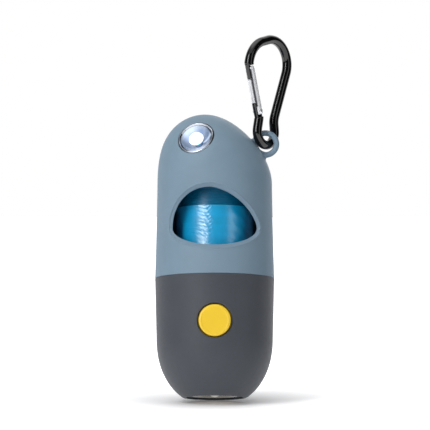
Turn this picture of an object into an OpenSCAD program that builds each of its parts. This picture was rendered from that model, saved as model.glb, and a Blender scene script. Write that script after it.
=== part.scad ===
// Pill-shaped dispenser for rolls of bags, with a lamp, a push button and a carabiner.
// The origin is on the body's axis at its base. +Z is up, and the front faces -Y.

/* [Body] */
// Outer radius at the seam between the two shells
seam_r = 23.9; // [23.5:0.1:25]
// Height from the deck's top to the seam
seam_rise = 8; // [8:0.5:11]
// Height where the lower end starts to round in
foot_z = 24; // [21:0.5:26]
// Narrowing of the radius from the seam down to that height
foot_taper = 0.55; // [0.3:0.05:0.8]
// Fullness of the lower end's curve, where 2 is an ellipse
foot_power = 2.2; // [2:0.05:2.5]
// Outer radius of the flat rim that the body stands on
rim_r = 12.7; // [12.4:0.1:14]
// Width of that rim
rim_w = 1.1; // [0.8:0.1:1.4]
// Height of the dome
dome_h = 28; // [25:0.5:29]
// Narrowing of the radius from the seam up to where the dome starts
dome_taper = 0.9; // [0.5:0.1:1.2]
// Sideways lean of the dome per unit of its height
dome_lean = 0.13; // [0:0.01:0.16]
// Thickness of the shells
wall = 2; // [1.6:0.1:2.2]
// Space from the roll's top to the top of the dome
head_room = 17; // [16.5:0.5:20]

/* [Neck] */
// Height of the neck that the upper shell slides over
neck_h = 6; // [5:0.5:7]
// Thickness of the neck
neck_t = 1.85; // [1.6:0.05:2]
// Radial clearance of the neck in the upper shell
neck_gap = 0.1; // [0.05:0.01:0.1]
// Wire radius of the rubber ring in the neck
seal_wire_r = 0.55; // [0.4:0.05:0.6]

/* [Window] */
// Height of the window's two corners above the deck's top
window_rise = 26.7; // [25:0.1:29]
// Reach of the window to the left
window_left = 16.75; // [15:0.05:17]
// Reach of the window to the right
window_right = 16.8; // [15:0.05:17]
// Height of the arch above the corners
window_up = 16; // [14:0.1:17]
// Depth of the curve below the corners
window_down = 7.2; // [6:0.1:8]
// Sideways place of the arch's highest point
window_peak_x = -2.05; // [-3:0.05:0]
// Fullness of the arch on the left
window_left_power = 2.15; // [2:0.05:2.4]
// Fullness of the arch on the right
window_right_power = 1.62; // [1.5:0.02:2]

/* [Lamp] */
// Angle of the lamp above the dome's start
lamp_lat = 38.2; // [36:0.1:40]
// Angle of the lamp round the dome, to the left of the front
lamp_lon = 18; // [16:0.1:20]
// Turn of the lamp's axis to the left
lamp_turn = 19; // [15:0.5:21]
// Tilt of the lamp's axis above the horizontal
lamp_tilt = 28.5; // [27:0.5:32]
// Outer radius of the bright ring
bezel_r = 7.3; // [6.8:0.1:7.4]
// Width of the bright ring
bezel_w = 1.1; // [0.8:0.1:1.3]
// Depth of the ring's front below the dome's highest point there
lamp_set = 0.7; // [0.5:0.1:0.9]
// Thickness of the rubber ring round the bezel
gasket_t = 0.3; // [0.2:0.05:0.4]
// Depth of the lamp cup behind the ring's front
lamp_depth = 7.3; // [7:0.1:7.5]
// Radius of the clear dome over the light source
lens_r = 3; // [2.5:0.1:3.2]

/* [Button] */
// Height of the button's centre above the base
button_z = 29.2; // [28:0.1:30]
// Radius of the button
button_r = 6.4; // [6:0.1:6.6]
// Radial clearance round the button
button_gap = 0.5; // [0.3:0.05:0.6]
// Travel of the button
button_travel = 0.8; // [0.5:0.05:0.9]
// Height of the button's face above the shell
button_proud = 0.2; // [0:0.05:0.5]

/* [Battery] */
// Radius of the battery cell
cell_r = 7.8; // [7.4:0.05:7.9]
// Length of the battery cell
cell_h = 27; // [26:0.1:28]
// Wall of the battery tube
tube_wall = 1.1; // [0.9:0.05:1.2]
// Radial clearance of the cell in its tube
cell_gap = 0.2; // [0.15:0.05:0.3]
// Radius of the battery cap
cap_r = 9.2; // [9:0.05:9.3]
// Radial clearance of the cap in the tube's foot
cap_gap = 0.1; // [0.05:0.01:0.1]
// Thickness of the cap
cap_t = 3.9; // [3.7:0.1:4.1]
// Depth of the dish in the cap's underside
dish_depth = 0.45; // [0.4:0.05:0.6]
// Depth of the cap behind the rim
cap_recess = 0.5; // [0.45:0.05:0.7]
// Radius of the rivet's head in the middle of the cap
rivet_r = 1.85; // [1.5:0.05:2]

/* [Roll] */
// Radial room between the roll of bags and the neck's bore
roll_room = 4.4; // [4.2:0.1:6]
// Length of the roll
roll_h = 55.6; // [54:0.1:57]
// Length of the roll up to the edge of its outer layers
roll_full_h = 33.6; // [30:0.1:40]
// Number of steps above that edge
roll_steps = 6; // [3:1:8]
// Inner radius of the roll's cardboard tube
core_bore_r = 6; // [5.5:0.1:6.5]
// Wall of that tube
core_wall = 1; // [0.8:0.1:1.4]
// Radial clearance of the tube on its spindle
spindle_gap = 0.1; // [0.05:0.01:0.1]
// Height of the spindle above the deck
spindle_h = 30; // [20:1:40]

/* [Loop] */
// Reach of the loop's centre past the dome's outline at its height
loop_out = 3.82; // [3.75:0.01:4]
// Depth of the loop's centre below the top of the dome
loop_drop = 11.7; // [11.4:0.05:11.8]
// Wire radius of the loop
loop_tube_r = 1.1; // [1.05:0.05:1.15]
// Room for the carabiner's wire in the loop
loop_play = 1.5; // [1.45:0.05:1.6]

/* [Carabiner] */
// Turn of the carabiner's plane about the upright
clip_twist = 50; // [49:0.5:52]
// Lean of the carabiner to the right
clip_lean = 2; // [1:0.5:4]
// Wire radius of the carabiner
clip_wire_r = 1.9; // [1.85:0.05:1.95]
// Radius of the arch on the right
arch_r = 9.6; // [9.3:0.1:9.9]
// Radius of the arch on the left
arch_left_r = 11.4; // [11:0.1:11.8]
// Sideways place of the right radius's centre
arch_u = 2.3; // [2:0.1:2.6]
// Height of that centre above the eye's lowest point
arch_rise = 33.4; // [33:0.1:34]
// Length of the straight run between the two radii
arch_run = 3.7; // [3.2:0.1:4.2]
// Slope of that run, down to the left
arch_slope = 17.5; // [16:0.5:19]
// Half the width of the waist
waist_u = 4.6; // [4.4:0.05:4.8]
// Height of the waist above the eye's lowest point
waist_rise = 10.5; // [10.2:0.1:10.8]
// Least clearance between the eye's wire and the loop
link_gap = 1.14; // [1.1:0.02:1.2]
// Depth of the eye's lowest point below the loop's centre
eye_drop = 0.4; // [0.35:0.05:0.45]
// Radius of the gate
gate_r = 1.85; // [1.8:0.05:1.9]
// Radius of the gate's pin
gate_pin_r = 0.6; // [0.5:0.05:0.7]

/* [Hidden] */
$fn = 72;
cut = 0.5; // overrun of a cut past the face that it opens
seat_gap = 0.3; // clearance between pieces that only lie near each other
slide_gap = 0.05; // radial clearance of a screw, pin or plunger in its hole

// Heights, from the base up
foot_recess = 0.6;
rivet_z = 0.2;
floor_z = 3.2;
cap_z = cap_recess;
cap_top_z = cap_z + cap_t;
spring_h = 1.4;
cell_z = cap_top_z + spring_h;
contact_t = 0.4;
contact_z = cell_z + cell_h;
partition_t = 1.2;
wire_space = 3.6;
deck_z = contact_z + contact_t + partition_t + wire_space;
deck_t = 2;
deck_top = deck_z + deck_t;
spindle_flange_t = 1.2;
roll_lift = 0.2;
roll_z = deck_top + spindle_flange_t + roll_lift;
roll_top = roll_z + roll_h;
body_h = roll_top + head_room;
dome_z = body_h - dome_h;
seam_z = deck_top + seam_rise;

// Outline of the shells
foot_r = seam_r - foot_taper;
dome_r = seam_r - dome_taper;
foot_b = foot_z / pow(1 - pow(rim_r / foot_r, foot_power), 1 / foot_power);
foot_steps = 16;
function foot_curve(z, r, b) = r * pow(1 - pow((foot_z - z) / b, foot_power), 1 / foot_power);
function side_r(z) = foot_r + (seam_r - foot_r) * (z - foot_z) / (seam_z - foot_z);
function upper_r(z) = seam_r + (dome_r - seam_r) * (z - seam_z) / (dome_z - seam_z);
neck_r = seam_r - wall - neck_gap - 0.05;
neck_inner_r = neck_r - neck_t;
neck_root = 3;
neck_slope = 2.5;
roll_r = neck_inner_r - roll_room;

// Foot of the battery tube, and the bayonet
foot_ring_r = rim_r - rim_w - cap_gap;
foot_flange_r = foot_curve(floor_z, foot_r - wall, foot_b - wall) - seat_gap;
foot_flange_t = 1.4;
foot_bore_r = cap_r + cap_gap;
tube_bore_r = cell_r + cell_gap;
tube_r = tube_bore_r + tube_wall;
lug_w = 5;
lug_t = 0.8;
lug_reach = 0.85;
lug_gap = 0.15;
lug_z = cap_top_z - lug_t - 0.5;
foot_top_z = cap_top_z + 1.4;
ring_contact_t = 0.4;

// Deck, its screws and their bosses
deck_r = side_r(deck_z) - wall - seat_gap;
boss_ring_r = deck_r - 3.958;
boss_r = 2.4;
boss_z = 0.46 * foot_z;
boss_turns = [90, 210, 330];
rib_t = 1.5;
screw_r = 0.9;
screw_head_r = 1.9;
screw_head_t = 1.2;
screw_len = 7;
spigot_r = 3;

// Button, switch and switch board
button_hole_r = button_r + button_gap;
button_face_y = side_r(button_z) + button_proud;
button_flange_r = button_hole_r + 0.9;
button_flange_t = 0.8;
button_inner_r = side_r(button_z) - wall;
button_flange_y = sqrt(pow(button_inner_r, 2) - pow(button_flange_r, 2)) - seat_gap;
plunger_y = button_flange_y - button_flange_t;
plunger_r = 1.7;
switch_w = 6;
lead_space = 2.59;
board_t = 1.6;
board_back = -tube_r - lead_space;
board_y = board_t - board_back;
plunger_out = 0.43 * (plunger_y - board_y);
switch_t = plunger_y - board_y - plunger_out;
board_w = 25;
board_h = 20;
board_gap = 1.2;
board_z = deck_z - board_gap - board_h;
board_screw_x = button_flange_r + 2.6;
board_screw_r = 0.7;
board_screw_len = 3.3;
board_screw_head_r = 1.4;
board_boss_r = 1.8;
board_boss_z = button_z;

// Lamp
lamp_at = [
    dome_r * cos(lamp_lat) * -sin(lamp_lon) - dome_lean * dome_h * sin(lamp_lat),
    dome_r * cos(lamp_lat) * -cos(lamp_lon),
    dome_z + dome_h * sin(lamp_lat)
];
lamp_bore_r = bezel_r + gasket_t;
bezel_inner_r = bezel_r - bezel_w;
bezel_back = -2.5;
bezel_edge = 0.3;
seat_r = lamp_bore_r + 1;
cup_floor_t = 1;
cup_wall = 0.9;
board_disc_t = 1;
led_base_t = 0.8;
lamp_floor = -lamp_depth + cup_floor_t;
led_z = lamp_floor + board_disc_t + led_base_t;
lens_stem = 1;
reflector_t = 0.5;
reflector_front = -0.4;
ear_x = bezel_r + 2.1;
ear_r = 1.9;
ear_t = 1.1;
ear_z = -lamp_depth + 0.4;
lamp_boss_r = 1.8;
lamp_boss_top = -2;
lamp_screw_r = 0.8;
lamp_screw_tip = -3.6;

// Contacts that meet at the seam, in the rear
strip_x = 4;
strip_w = 3;
strip_t = 0.3;
strip_y = sqrt(pow(neck_inner_r, 2) - pow(strip_x + strip_w / 2, 2)) - seat_gap - strip_t - 0.1;
strip_top = dome_z + 1;
finger_gap = 0.2;
finger_y = strip_y - finger_gap - strip_t - 0.15;
finger_top = seam_z + neck_h + 1.5;
wire_r = 0.5;
lead_r = tube_r + 1.6;
lead_step = 1;
lead_z = board_boss_z + board_screw_head_r + wire_r + 1.9;

// Loop and carabiner
loop_r = loop_tube_r + clip_wire_r + loop_play;
loop_z = body_h - loop_drop;
loop_x = dome_r * sqrt(1 - pow(1 - loop_drop / dome_h, 2)) - dome_lean * (dome_h - loop_drop) + loop_out;
web_t = 2;
eye_r = (clip_wire_r + loop_tube_r + link_gap) / sin(clip_twist);
arch_centre = [arch_u, arch_rise];
arch_join = 90 + arch_slope;
arch_left_centre = arch_centre + (arch_r - arch_left_r) * [cos(arch_join), sin(arch_join)]
    - arch_run * [sin(arch_join), -cos(arch_join)];
arch_far = norm([waist_u - arch_u, arch_rise - waist_rise]);
arch_end = acos(arch_r / arch_far) - atan2(arch_rise - waist_rise, waist_u - arch_u);
eye_far = norm([waist_u, waist_rise - eye_r]);
eye_end = atan2(waist_rise - eye_r, waist_u) - acos(eye_r / eye_far);
arch_right = arch_centre + arch_r * [cos(arch_end), sin(arch_end)];
eye_right = [eye_r * cos(eye_end), eye_r + eye_r * sin(eye_end)];
waist_right = [waist_u, waist_rise];
waist_left = [-waist_u, waist_rise];
nose_angle = 173;
nose_len = 1;
nose_turn = 14;
nose = arch_left_centre + arch_left_r * [cos(nose_angle), sin(nose_angle)]
    + nose_len * [sin(nose_turn), -cos(nose_turn)];
gate_turn = atan2(waist_left[0] - nose[0], nose[1] - waist_left[1]);
pivot_up = 2.7;
waist_after = 0.4;
pivot = waist_left + pivot_up * [-sin(gate_turn), cos(gate_turn)];
gate_gap = 0.35;
gate_len = norm(nose - pivot) - gate_gap - clip_wire_r * sin(abs(gate_turn - nose_turn));
lip_len = 4.8;
lip_root = 1.4;
lip_x = 0.6;
lip_gap = 0.15;
tongue_t = 1.9;
tongue_r = 1.2;
tongue_down = 3.4;
tongue_gap = 0.1;
ear_down = 2.7;
ear_up = 3.4;
slot_up = ear_up + seat_gap;
gate_spring_len = 8.8;
gate_down = 1.2;

function unit(v) = v / norm(v);

// Round tube with flat ends along a list of points, none of whose runs is parallel to ref
module swept_tube(path, r, sides, ref) {
    last = len(path) - 1;
    rings = [for (i = [0 : last])
        let (
            d = unit(path[min(i + 1, last)] - path[max(i - 1, 0)]),
            u = unit(cross(d, ref)),
            v = cross(d, u)
        )
        for (k = [0 : sides - 1]) path[i] + r * (cos(360 * k / sides) * u + sin(360 * k / sides) * v)];
    ends = len(rings);
    polyhedron(
        points = concat(rings, [path[0], path[last]]),
        faces = concat(
            [for (i = [0 : last - 1], k = [0 : sides - 1])
                let (a = i * sides + k, b = i * sides + (k + 1) % sides) [a, a + sides, b + sides]],
            [for (i = [0 : last - 1], k = [0 : sides - 1])
                let (a = i * sides + k, b = i * sides + (k + 1) % sides) [a, b + sides, b]],
            [for (k = [0 : sides - 1]) [ends, k, (k + 1) % sides]],
            [for (k = [0 : sides - 1]) [ends + 1, last * sides + (k + 1) % sides, last * sides + k]]
        )
    );
}

module wire(points) {
    swept_tube(points, wire_r, 8, [1, 0, 0]);
}

// Ring of rectangular section
module ring(inner, outer, z, h) {
    translate([0, 0, z]) difference() {
        cylinder(h = h, r = outer);
        translate([0, 0, -cut]) cylinder(h = h + 2 * cut, r = inner);
    }
}

// Cylinder along +Y from depth y0 to depth y1, where the depths are negative Y values
module bar_y(x, z, y0, y1, r) {
    translate([x, y0, z]) rotate([-90, 0, 0]) cylinder(h = y1 - y0, r = r);
}

// Half of a leaning ellipsoid, above the height z
module dome(r, h, z) {
    intersection() {
        multmatrix([
            [r, 0, -dome_lean * h, 0],
            [0, r, 0, 0],
            [0, 0, h, z],
            [0, 0, 0, 1]
        ]) sphere(1, $fn = 96);
        translate([-2 * r, -2 * r, z]) cube([4 * r, 4 * r, 2 * h]);
    }
}

// The lamp's frame, where +Z points out of the lamp and the ring's front is at 0
module at_lamp() {
    translate(lamp_at) rotate([90 - lamp_tilt, 0, -lamp_turn]) translate([0, 0, -lamp_set]) children();
}

function round_point(c, a, b, power, t) = [
    c[0] + a * sign(cos(t)) * pow(abs(cos(t)), 2 / power),
    c[1] + b * sign(sin(t)) * pow(abs(sin(t)), 2 / power)
];

// Window outline, from four rounded quarters that meet at the corners and at the peak
function window_outline() =
    let (mid = [window_peak_x, 0], steps = 10)
    concat(
        [for (i = [0 : steps - 1]) round_point(mid, window_right - window_peak_x, window_up,
            window_right_power, 90 * i / steps)],
        [for (i = [0 : steps - 1]) round_point(mid, window_left + window_peak_x, window_up,
            window_left_power, 90 + 90 * i / steps)],
        [for (i = [0 : steps - 1]) round_point([0, 0], window_left, window_down,
            2, 180 + 90 * i / steps)],
        [for (i = [0 : steps - 1]) round_point([0, 0], window_right, window_down,
            2, 270 + 90 * i / steps)]
    );

module lower_shell() {
    foot_outer = [for (i = [0 : foot_steps])
        let (z = foot_z * i / foot_steps) [foot_curve(z, foot_r, foot_b), z]];
    foot_inner = [for (i = [foot_steps : -1 : 0])
        let (z = floor_z + (foot_z - floor_z) * i / foot_steps)
        [foot_curve(z, foot_r - wall, foot_b - wall), z]];
    outline = concat(
        [[rim_r - rim_w, 0]],
        foot_outer,
        [
            [seam_r, seam_z],
            [neck_r, seam_z],
            [neck_r, seam_z + neck_h],
            [neck_inner_r, seam_z + neck_h],
            [neck_inner_r, seam_z - neck_root],
            [side_r(seam_z - neck_root - neck_slope) - wall, seam_z - neck_root - neck_slope]
        ],
        foot_inner,
        [[rim_r - rim_w, floor_z]]
    );
    color("#4d525b") difference() {
        union() {
            rotate_extrude($fn = 96) polygon(outline);
            for (turn = boss_turns) rotate(turn) {
                translate([boss_ring_r, 0, boss_z]) cylinder(h = deck_z - boss_z, r = boss_r);
                translate([boss_ring_r, -rib_t / 2, foot_z])
                    cube([side_r(foot_z) - wall / 2 - boss_ring_r, rib_t, deck_z - foot_z]);
            }
            for (side = [-1, 1])
                bar_y(side * board_screw_x, board_boss_z,
                    -sqrt(pow(side_r(board_boss_z) - wall / 2, 2) - pow(board_screw_x, 2)),
                    -board_y, board_boss_r);
        }
        for (turn = boss_turns) rotate(turn)
            translate([boss_ring_r, 0, deck_z - screw_len])
                cylinder(h = screw_len + cut, r = screw_r + slide_gap);
        for (side = [-1, 1])
            bar_y(side * board_screw_x, board_boss_z, -board_y - board_screw_len - seat_gap, -board_y + cut,
                board_screw_r + slide_gap);
        bar_y(0, button_z, -button_face_y - cut, -button_inner_r / 2, button_hole_r);
        rotate_extrude() translate([neck_r - 0.5, seam_z + neck_h / 2]) circle(seal_wire_r + slide_gap);
    }
}

module battery_tube() {
    color("#17181a") difference() {
        union() {
            translate([0, 0, foot_recess]) cylinder(h = foot_top_z - foot_recess, r = foot_ring_r);
            translate([0, 0, floor_z]) cylinder(h = foot_flange_t, r = foot_flange_r);
            cylinder_from(foot_top_z, deck_z, tube_r);
        }
        cylinder_from(foot_recess - cut, cap_top_z + ring_contact_t, foot_bore_r);
        cylinder_from(cap_top_z, contact_z + contact_t, tube_bore_r);
        cylinder_from(contact_z + contact_t + partition_t, deck_z + cut, tube_bore_r);
        // Groove and entries of the bayonet
        cylinder_from(lug_z - lug_gap, lug_z + lug_t + lug_gap, cap_r + lug_reach + lug_gap);
        for (turn = [60, 240]) rotate(turn)
            translate([0, -lug_w / 2 - lug_gap, foot_recess - cut])
                cube([cap_r + lug_reach + lug_gap, lug_w + 2 * lug_gap, lug_z - foot_recess + cut]);
        // Slots for the tabs of the two contacts
        translate([-1.5, -tube_r - 1.2, cap_top_z - 0.1]) cube([3, 3, foot_top_z - cap_top_z + 0.2]);
        translate([-1.5, -tube_r - cut, contact_z - 0.1]) cube([3, 3, contact_t + 0.2]);
    }
}

module cylinder_from(z0, z1, r) {
    translate([0, 0, z0]) cylinder(h = z1 - z0, r = r);
}

module battery_cell() {
    nub_r = 3;
    nub_h = 1;
    color("#2f6f5e") union() {
        cylinder_from(cell_z, contact_z - nub_h, cell_r);
        cylinder_from(contact_z - nub_h, contact_z, nub_r);
    }
}

module positive_contact() {
    color("#c9a55a") union() {
        cylinder_from(contact_z, contact_z + contact_t, tube_bore_r - 1.4);
        translate([-1.2, -tube_r - 0.9, contact_z]) cube([2.4, 4.2, contact_t]);
    }
}

module negative_contact() {
    color("#c9a55a") difference() {
        union() {
            ring(tube_bore_r - 1.3, foot_bore_r, cap_top_z, ring_contact_t);
            translate([-1.2, -tube_r - 0.9, cap_top_z]) cube([2.4, 1.6, ring_contact_t]);
            translate([-1.2, -tube_r - 0.9, cap_top_z]) cube([2.4, 0.4, board_z - cap_top_z + 1]);
        }
        translate([0, 0, cap_top_z - cut]) cylinder(h = ring_contact_t + 2 * cut, r = tube_bore_r - 1.3);
    }
}

module deck_plate() {
    lead_x = strip_x;
    lead_y = finger_y - 2.2 * lead_step;
    color("#3c4046") difference() {
        cylinder_from(deck_z, deck_top, deck_r);
        for (turn = boss_turns) rotate(turn)
            translate([boss_ring_r, 0, deck_z - cut]) cylinder(h = deck_t + 2 * cut, r = screw_r + 0.2);
        cylinder_from(deck_z - cut, deck_top + cut, spigot_r + slide_gap);
        for (side = [-1, 1])
            translate([side * lead_x, lead_y, deck_z - cut]) cylinder(h = deck_t + 2 * cut, r = wire_r + 0.3);
    }
}

module deck_screws() {
    color("silver") for (turn = boss_turns) rotate(turn) translate([boss_ring_r, 0, 0]) difference() {
        union() {
            cylinder_from(deck_top, deck_top + screw_head_t, screw_head_r);
            cylinder_from(deck_z - screw_len + seat_gap, deck_top, screw_r);
        }
        translate([-screw_head_r, -0.25, deck_top + screw_head_t - 0.6]) cube([2 * screw_head_r, 0.5, 1]);
        translate([-0.25, -screw_head_r, deck_top + screw_head_t - 0.6]) cube([0.5, 2 * screw_head_r, 1]);
    }
}

module roll_spindle() {
    post_r = core_bore_r - spindle_gap;
    color("#2d3035") difference() {
        union() {
            cylinder_from(deck_z, deck_top, spigot_r);
            cylinder_from(deck_top, deck_top + spindle_flange_t, core_bore_r + 2.2);
            cylinder_from(deck_top + spindle_flange_t, deck_top + spindle_h - 1, post_r);
            translate([0, 0, deck_top + spindle_h - 1]) cylinder(h = 1, r1 = post_r, r2 = post_r - 1);
        }
        cylinder_from(deck_top + spindle_flange_t, deck_top + spindle_h + cut, post_r - 1.5);
    }
}

module neck_seal() {
    color("#202124") rotate_extrude() translate([neck_r - 0.5, seam_z + neck_h / 2]) circle(seal_wire_r);
}

module switch_board() {
    color("#1f6b45") difference() {
        translate([-board_w / 2, -board_y, board_z]) cube([board_w, board_t, board_h]);
        for (side = [-1, 1])
            bar_y(side * board_screw_x, board_boss_z, -board_y - cut, board_back + cut,
                board_screw_r + 0.15);
    }
}

module switch_body() {
    hole_depth = button_travel + 0.5;
    color("#26282b") difference() {
        translate([-switch_w / 2, -board_y - switch_t, button_z - switch_w / 2])
            cube([switch_w, switch_t, switch_w]);
        bar_y(0, button_z, -board_y - switch_t - cut, -board_y - switch_t + hole_depth + 0.3,
            plunger_r + slide_gap);
    }
}

module driver_chip() {
    legs = 4;
    color("#1b1c1e") translate([-6.6, board_back, board_z + 3]) {
        cube([4, 1.3, 5]);
        for (i = [0 : legs - 1], side = [-0.8, 4])
            translate([side, 0, 0.5 + i * 1.2]) cube([0.8, 0.4, 0.5]);
    }
}

module board_parts() {
    color("#b79f7a") for (i = [0 : 3])
        translate([4 + 2.2 * (i % 2), board_back, board_z + 3 + 2.6 * floor(i / 2)])
            cube([1.3, 0.7, 2]);
}

module board_screws() {
    head_t = 0.9;
    color("silver") for (side = [-1, 1]) union() {
        bar_y(side * board_screw_x, board_boss_z, board_back, board_back + head_t, board_screw_head_r);
        bar_y(side * board_screw_x, board_boss_z, -board_y - board_screw_len, board_back, board_screw_r);
    }
}

module contact_fingers() {
    foot_len = 3.2;
    color("#c9a55a") for (side = [-1, 1]) translate([side * strip_x - strip_w / 2, 0, 0]) union() {
        translate([0, finger_y - foot_len, deck_top]) cube([strip_w, foot_len, 0.4]);
        translate([0, finger_y - strip_t, deck_top]) cube([strip_w, strip_t, finger_top - deck_top]);
        translate([0, finger_y - 0.25, finger_top - 1.5])
            rotate([0, 90, 0]) cylinder(h = strip_w, r = 0.4);
    }
}

// The lead of a contact finger, from the deck round the battery tube to the board
module finger_wire(side) {
    wire([
        [side * strip_x, finger_y - 2.2 * lead_step, deck_top],
        [side * strip_x, finger_y - 2.2 * lead_step, deck_z - lead_step],
        [side * (strip_x + lead_step), finger_y - 2.8 * lead_step, deck_z - 2.4 * lead_step],
        [side * 0.855 * lead_r, 0.758 * lead_r, lead_z + 1.4 * lead_step],
        [side * lead_r, 0.24 * lead_r, lead_z + lead_step],
        [side * 0.984 * lead_r, -0.32 * lead_r, lead_z + 0.6 * lead_step],
        [side * 0.87 * lead_r, board_back + lead_space, lead_z],
        [side * 0.84 * lead_r, board_back, lead_z]
    ]);
}

module finger_wire_red() { color("#b3262a") finger_wire(1); }

module finger_wire_black() { color("#1d1d1f") finger_wire(-1); }

module battery_wire_red() {
    color("#b3262a") wire([
        [0.4, -tube_r - 0.4, contact_z + contact_t],
        [0.4, -tube_r - 0.4, contact_z + contact_t + 0.8],
        [1.6, -tube_r - 1.2, contact_z + contact_t + 2],
        [2.6, board_back + 0.8, contact_z + contact_t + 2.2],
        [2.7, board_back, contact_z + contact_t + 2.2]
    ]);
}

module battery_wire_black() {
    color("#1d1d1f") wire([
        [0.3, -tube_r - 0.7, board_z + 1],
        [0.3, -tube_r - 0.7, board_z + 1.7],
        [-0.8, -tube_r - 1.1, board_z + 2.8],
        [-1.6, board_back + 0.8, board_z + 3.2],
        [-1.7, board_back, board_z + 3.2]
    ]);
}

// Bosses for the lamp's two screws, and the flat seat round its ring
module lamp_bosses() {
    intersection() {
        union() {
            for (side = [-1, 1]) at_lamp() translate([side * ear_x, 0, ear_z + ear_t])
                cylinder(h = lamp_boss_top - ear_z - ear_t, r = lamp_boss_r);
            at_lamp() translate([0, 0, bezel_back - 1.5]) cylinder(h = 1.5 - bezel_back - 1, r = seat_r);
        }
        dome(dome_r - wall / 2, dome_h - wall / 2, dome_z);
    }
}

module loop_ring() {
    translate([loop_x, 0, loop_z]) rotate([90, 0, 0]) {
        rotate_extrude() translate([loop_r, 0]) circle(loop_tube_r, $fn = 48);
        translate([0, 0, -web_t / 2]) linear_extrude(web_t) difference() {
            polygon(loop_r * [[-1.6, 0.4], [-1.09, 0.67], [0, 0], [0.58, -1.13], [0.27, -1.69], [-1.78, -1.56]]);
            circle(loop_r);
        }
    }
}

module upper_shell() {
    rib_y = strip_y + strip_t;
    color("#8098ab") difference() {
        union() {
            difference() {
                union() {
                    translate([0, 0, seam_z]) cylinder(h = dome_z - seam_z, r1 = seam_r, r2 = dome_r);
                    dome(dome_r, dome_h, dome_z);
                    loop_ring();
                }
                cylinder_from(seam_z - cut, seam_z + neck_h + seat_gap, neck_r + neck_gap);
                translate([0, 0, seam_z + neck_h]) cylinder(
                    h = dome_z - seam_z - neck_h,
                    r1 = upper_r(seam_z + neck_h) - wall, r2 = dome_r - wall);
                dome(dome_r - wall, dome_h - wall, dome_z);
                translate([0, 0, deck_top + window_rise]) rotate([90, 0, 0])
                    linear_extrude(2 * seam_r) polygon(window_outline());
            }
            lamp_bosses();
            at_lamp() translate([0, 0, bezel_back]) cylinder(h = -bezel_back, r = seat_r);
            for (side = [-1, 1])
                translate([side * strip_x - strip_w / 2, rib_y, seam_z + neck_h + 1])
                    cube([strip_w, dome_r - wall / 2 - rib_y - 0.8, dome_z - seam_z - neck_h - 1]);
        }
        at_lamp() cylinder(h = 4 * lamp_set, r = seat_r);
        at_lamp() translate([0, 0, -lamp_depth]) cylinder(h = 2 * lamp_depth, r = lamp_bore_r);
        for (side = [-1, 1]) at_lamp() translate([side * ear_x, 0, ear_z])
            cylinder(h = lamp_screw_tip + 0.2 - ear_z, r = lamp_screw_r + slide_gap);
    }
}

module lamp_bezel() {
    color("#d8dade") at_lamp() rotate_extrude() polygon([
        [bezel_inner_r, bezel_back],
        [bezel_r, bezel_back],
        [bezel_r, -bezel_edge],
        [bezel_r - bezel_edge, 0],
        [bezel_inner_r + bezel_edge, 0],
        [bezel_inner_r, -bezel_edge]
    ]);
}

module lamp_reflector() {
    front_r = bezel_inner_r - slide_gap;
    back_r = lens_r + 0.1;
    back_z = led_z - 0.1;
    color("#e6e8ec") at_lamp() rotate_extrude() polygon([
        [back_r, back_z],
        [back_r + reflector_t, back_z],
        [front_r, reflector_front - 0.6],
        [front_r, reflector_front],
        [front_r - reflector_t, reflector_front],
        [back_r, back_z + 0.5]
    ]);
}

module led_lens() {
    color("#dff1ff") at_lamp() rotate_extrude() intersection() {
        union() {
            translate([0, led_z]) square([lens_r, lens_stem]);
            translate([0, led_z + lens_stem]) circle(lens_r);
        }
        translate([0, led_z]) square([lens_r, lens_stem + lens_r]);
    }
}

module led_base() {
    color("#f2f0e4") at_lamp() translate([0, 0, led_z - led_base_t]) cylinder(h = led_base_t, r = lens_r - 0.1);
}

module led_board() {
    color("#e9ebe6") at_lamp() translate([0, 0, lamp_floor])
        cylinder(h = board_disc_t, r = bezel_r - cup_wall - slide_gap);
}

module lamp_gasket() {
    color("#1a1b1d") at_lamp() ring(bezel_r, lamp_bore_r, bezel_back, -bezel_back - 0.5);
}

module lamp_cup() {
    color("#24262a") at_lamp() difference() {
        union() {
            translate([0, 0, -lamp_depth]) cylinder(h = lamp_depth + bezel_back, r = bezel_r);
            for (side = [-1, 1]) translate([side * ear_x, 0, ear_z]) cylinder(h = ear_t, r = ear_r);
            translate([-ear_x, -ear_r, ear_z]) cube([2 * ear_x, 2 * ear_r, ear_t]);
        }
        translate([0, 0, lamp_floor]) cylinder(h = lamp_depth, r = bezel_r - cup_wall);
        for (side = [-1, 1]) {
            translate([side * ear_x, 0, ear_z - cut]) cylinder(h = ear_t + 2 * cut, r = lamp_screw_r + 0.1);
            translate([side * 2.4, 3.6, -lamp_depth - cut]) cylinder(h = cup_floor_t + 2 * cut, r = wire_r + 0.2);
        }
    }
}

module lamp_screws() {
    head_t = 1;
    color("silver") for (side = [-1, 1]) at_lamp() translate([side * ear_x, 0, 0]) union() {
        translate([0, 0, ear_z - head_t]) cylinder(h = head_t, r = 1.5);
        translate([0, 0, ear_z]) cylinder(h = lamp_screw_tip - ear_z, r = lamp_screw_r);
    }
}

module contact_strips() {
    color("#c9a55a") for (side = [-1, 1])
        translate([side * strip_x - strip_w / 2, strip_y, seam_z + 1])
            cube([strip_w, strip_t, strip_top - seam_z - 1]);
}

// Place of a point given in the lamp's own frame
function lamp_point(p) =
    let (
        t = 90 - lamp_tilt,
        y = p[1] * cos(t) - (p[2] - lamp_set) * sin(t),
        z = p[1] * sin(t) + (p[2] - lamp_set) * cos(t)
    )
    lamp_at + [p[0] * cos(lamp_turn) + y * sin(lamp_turn), -p[0] * sin(lamp_turn) + y * cos(lamp_turn), z];

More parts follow.
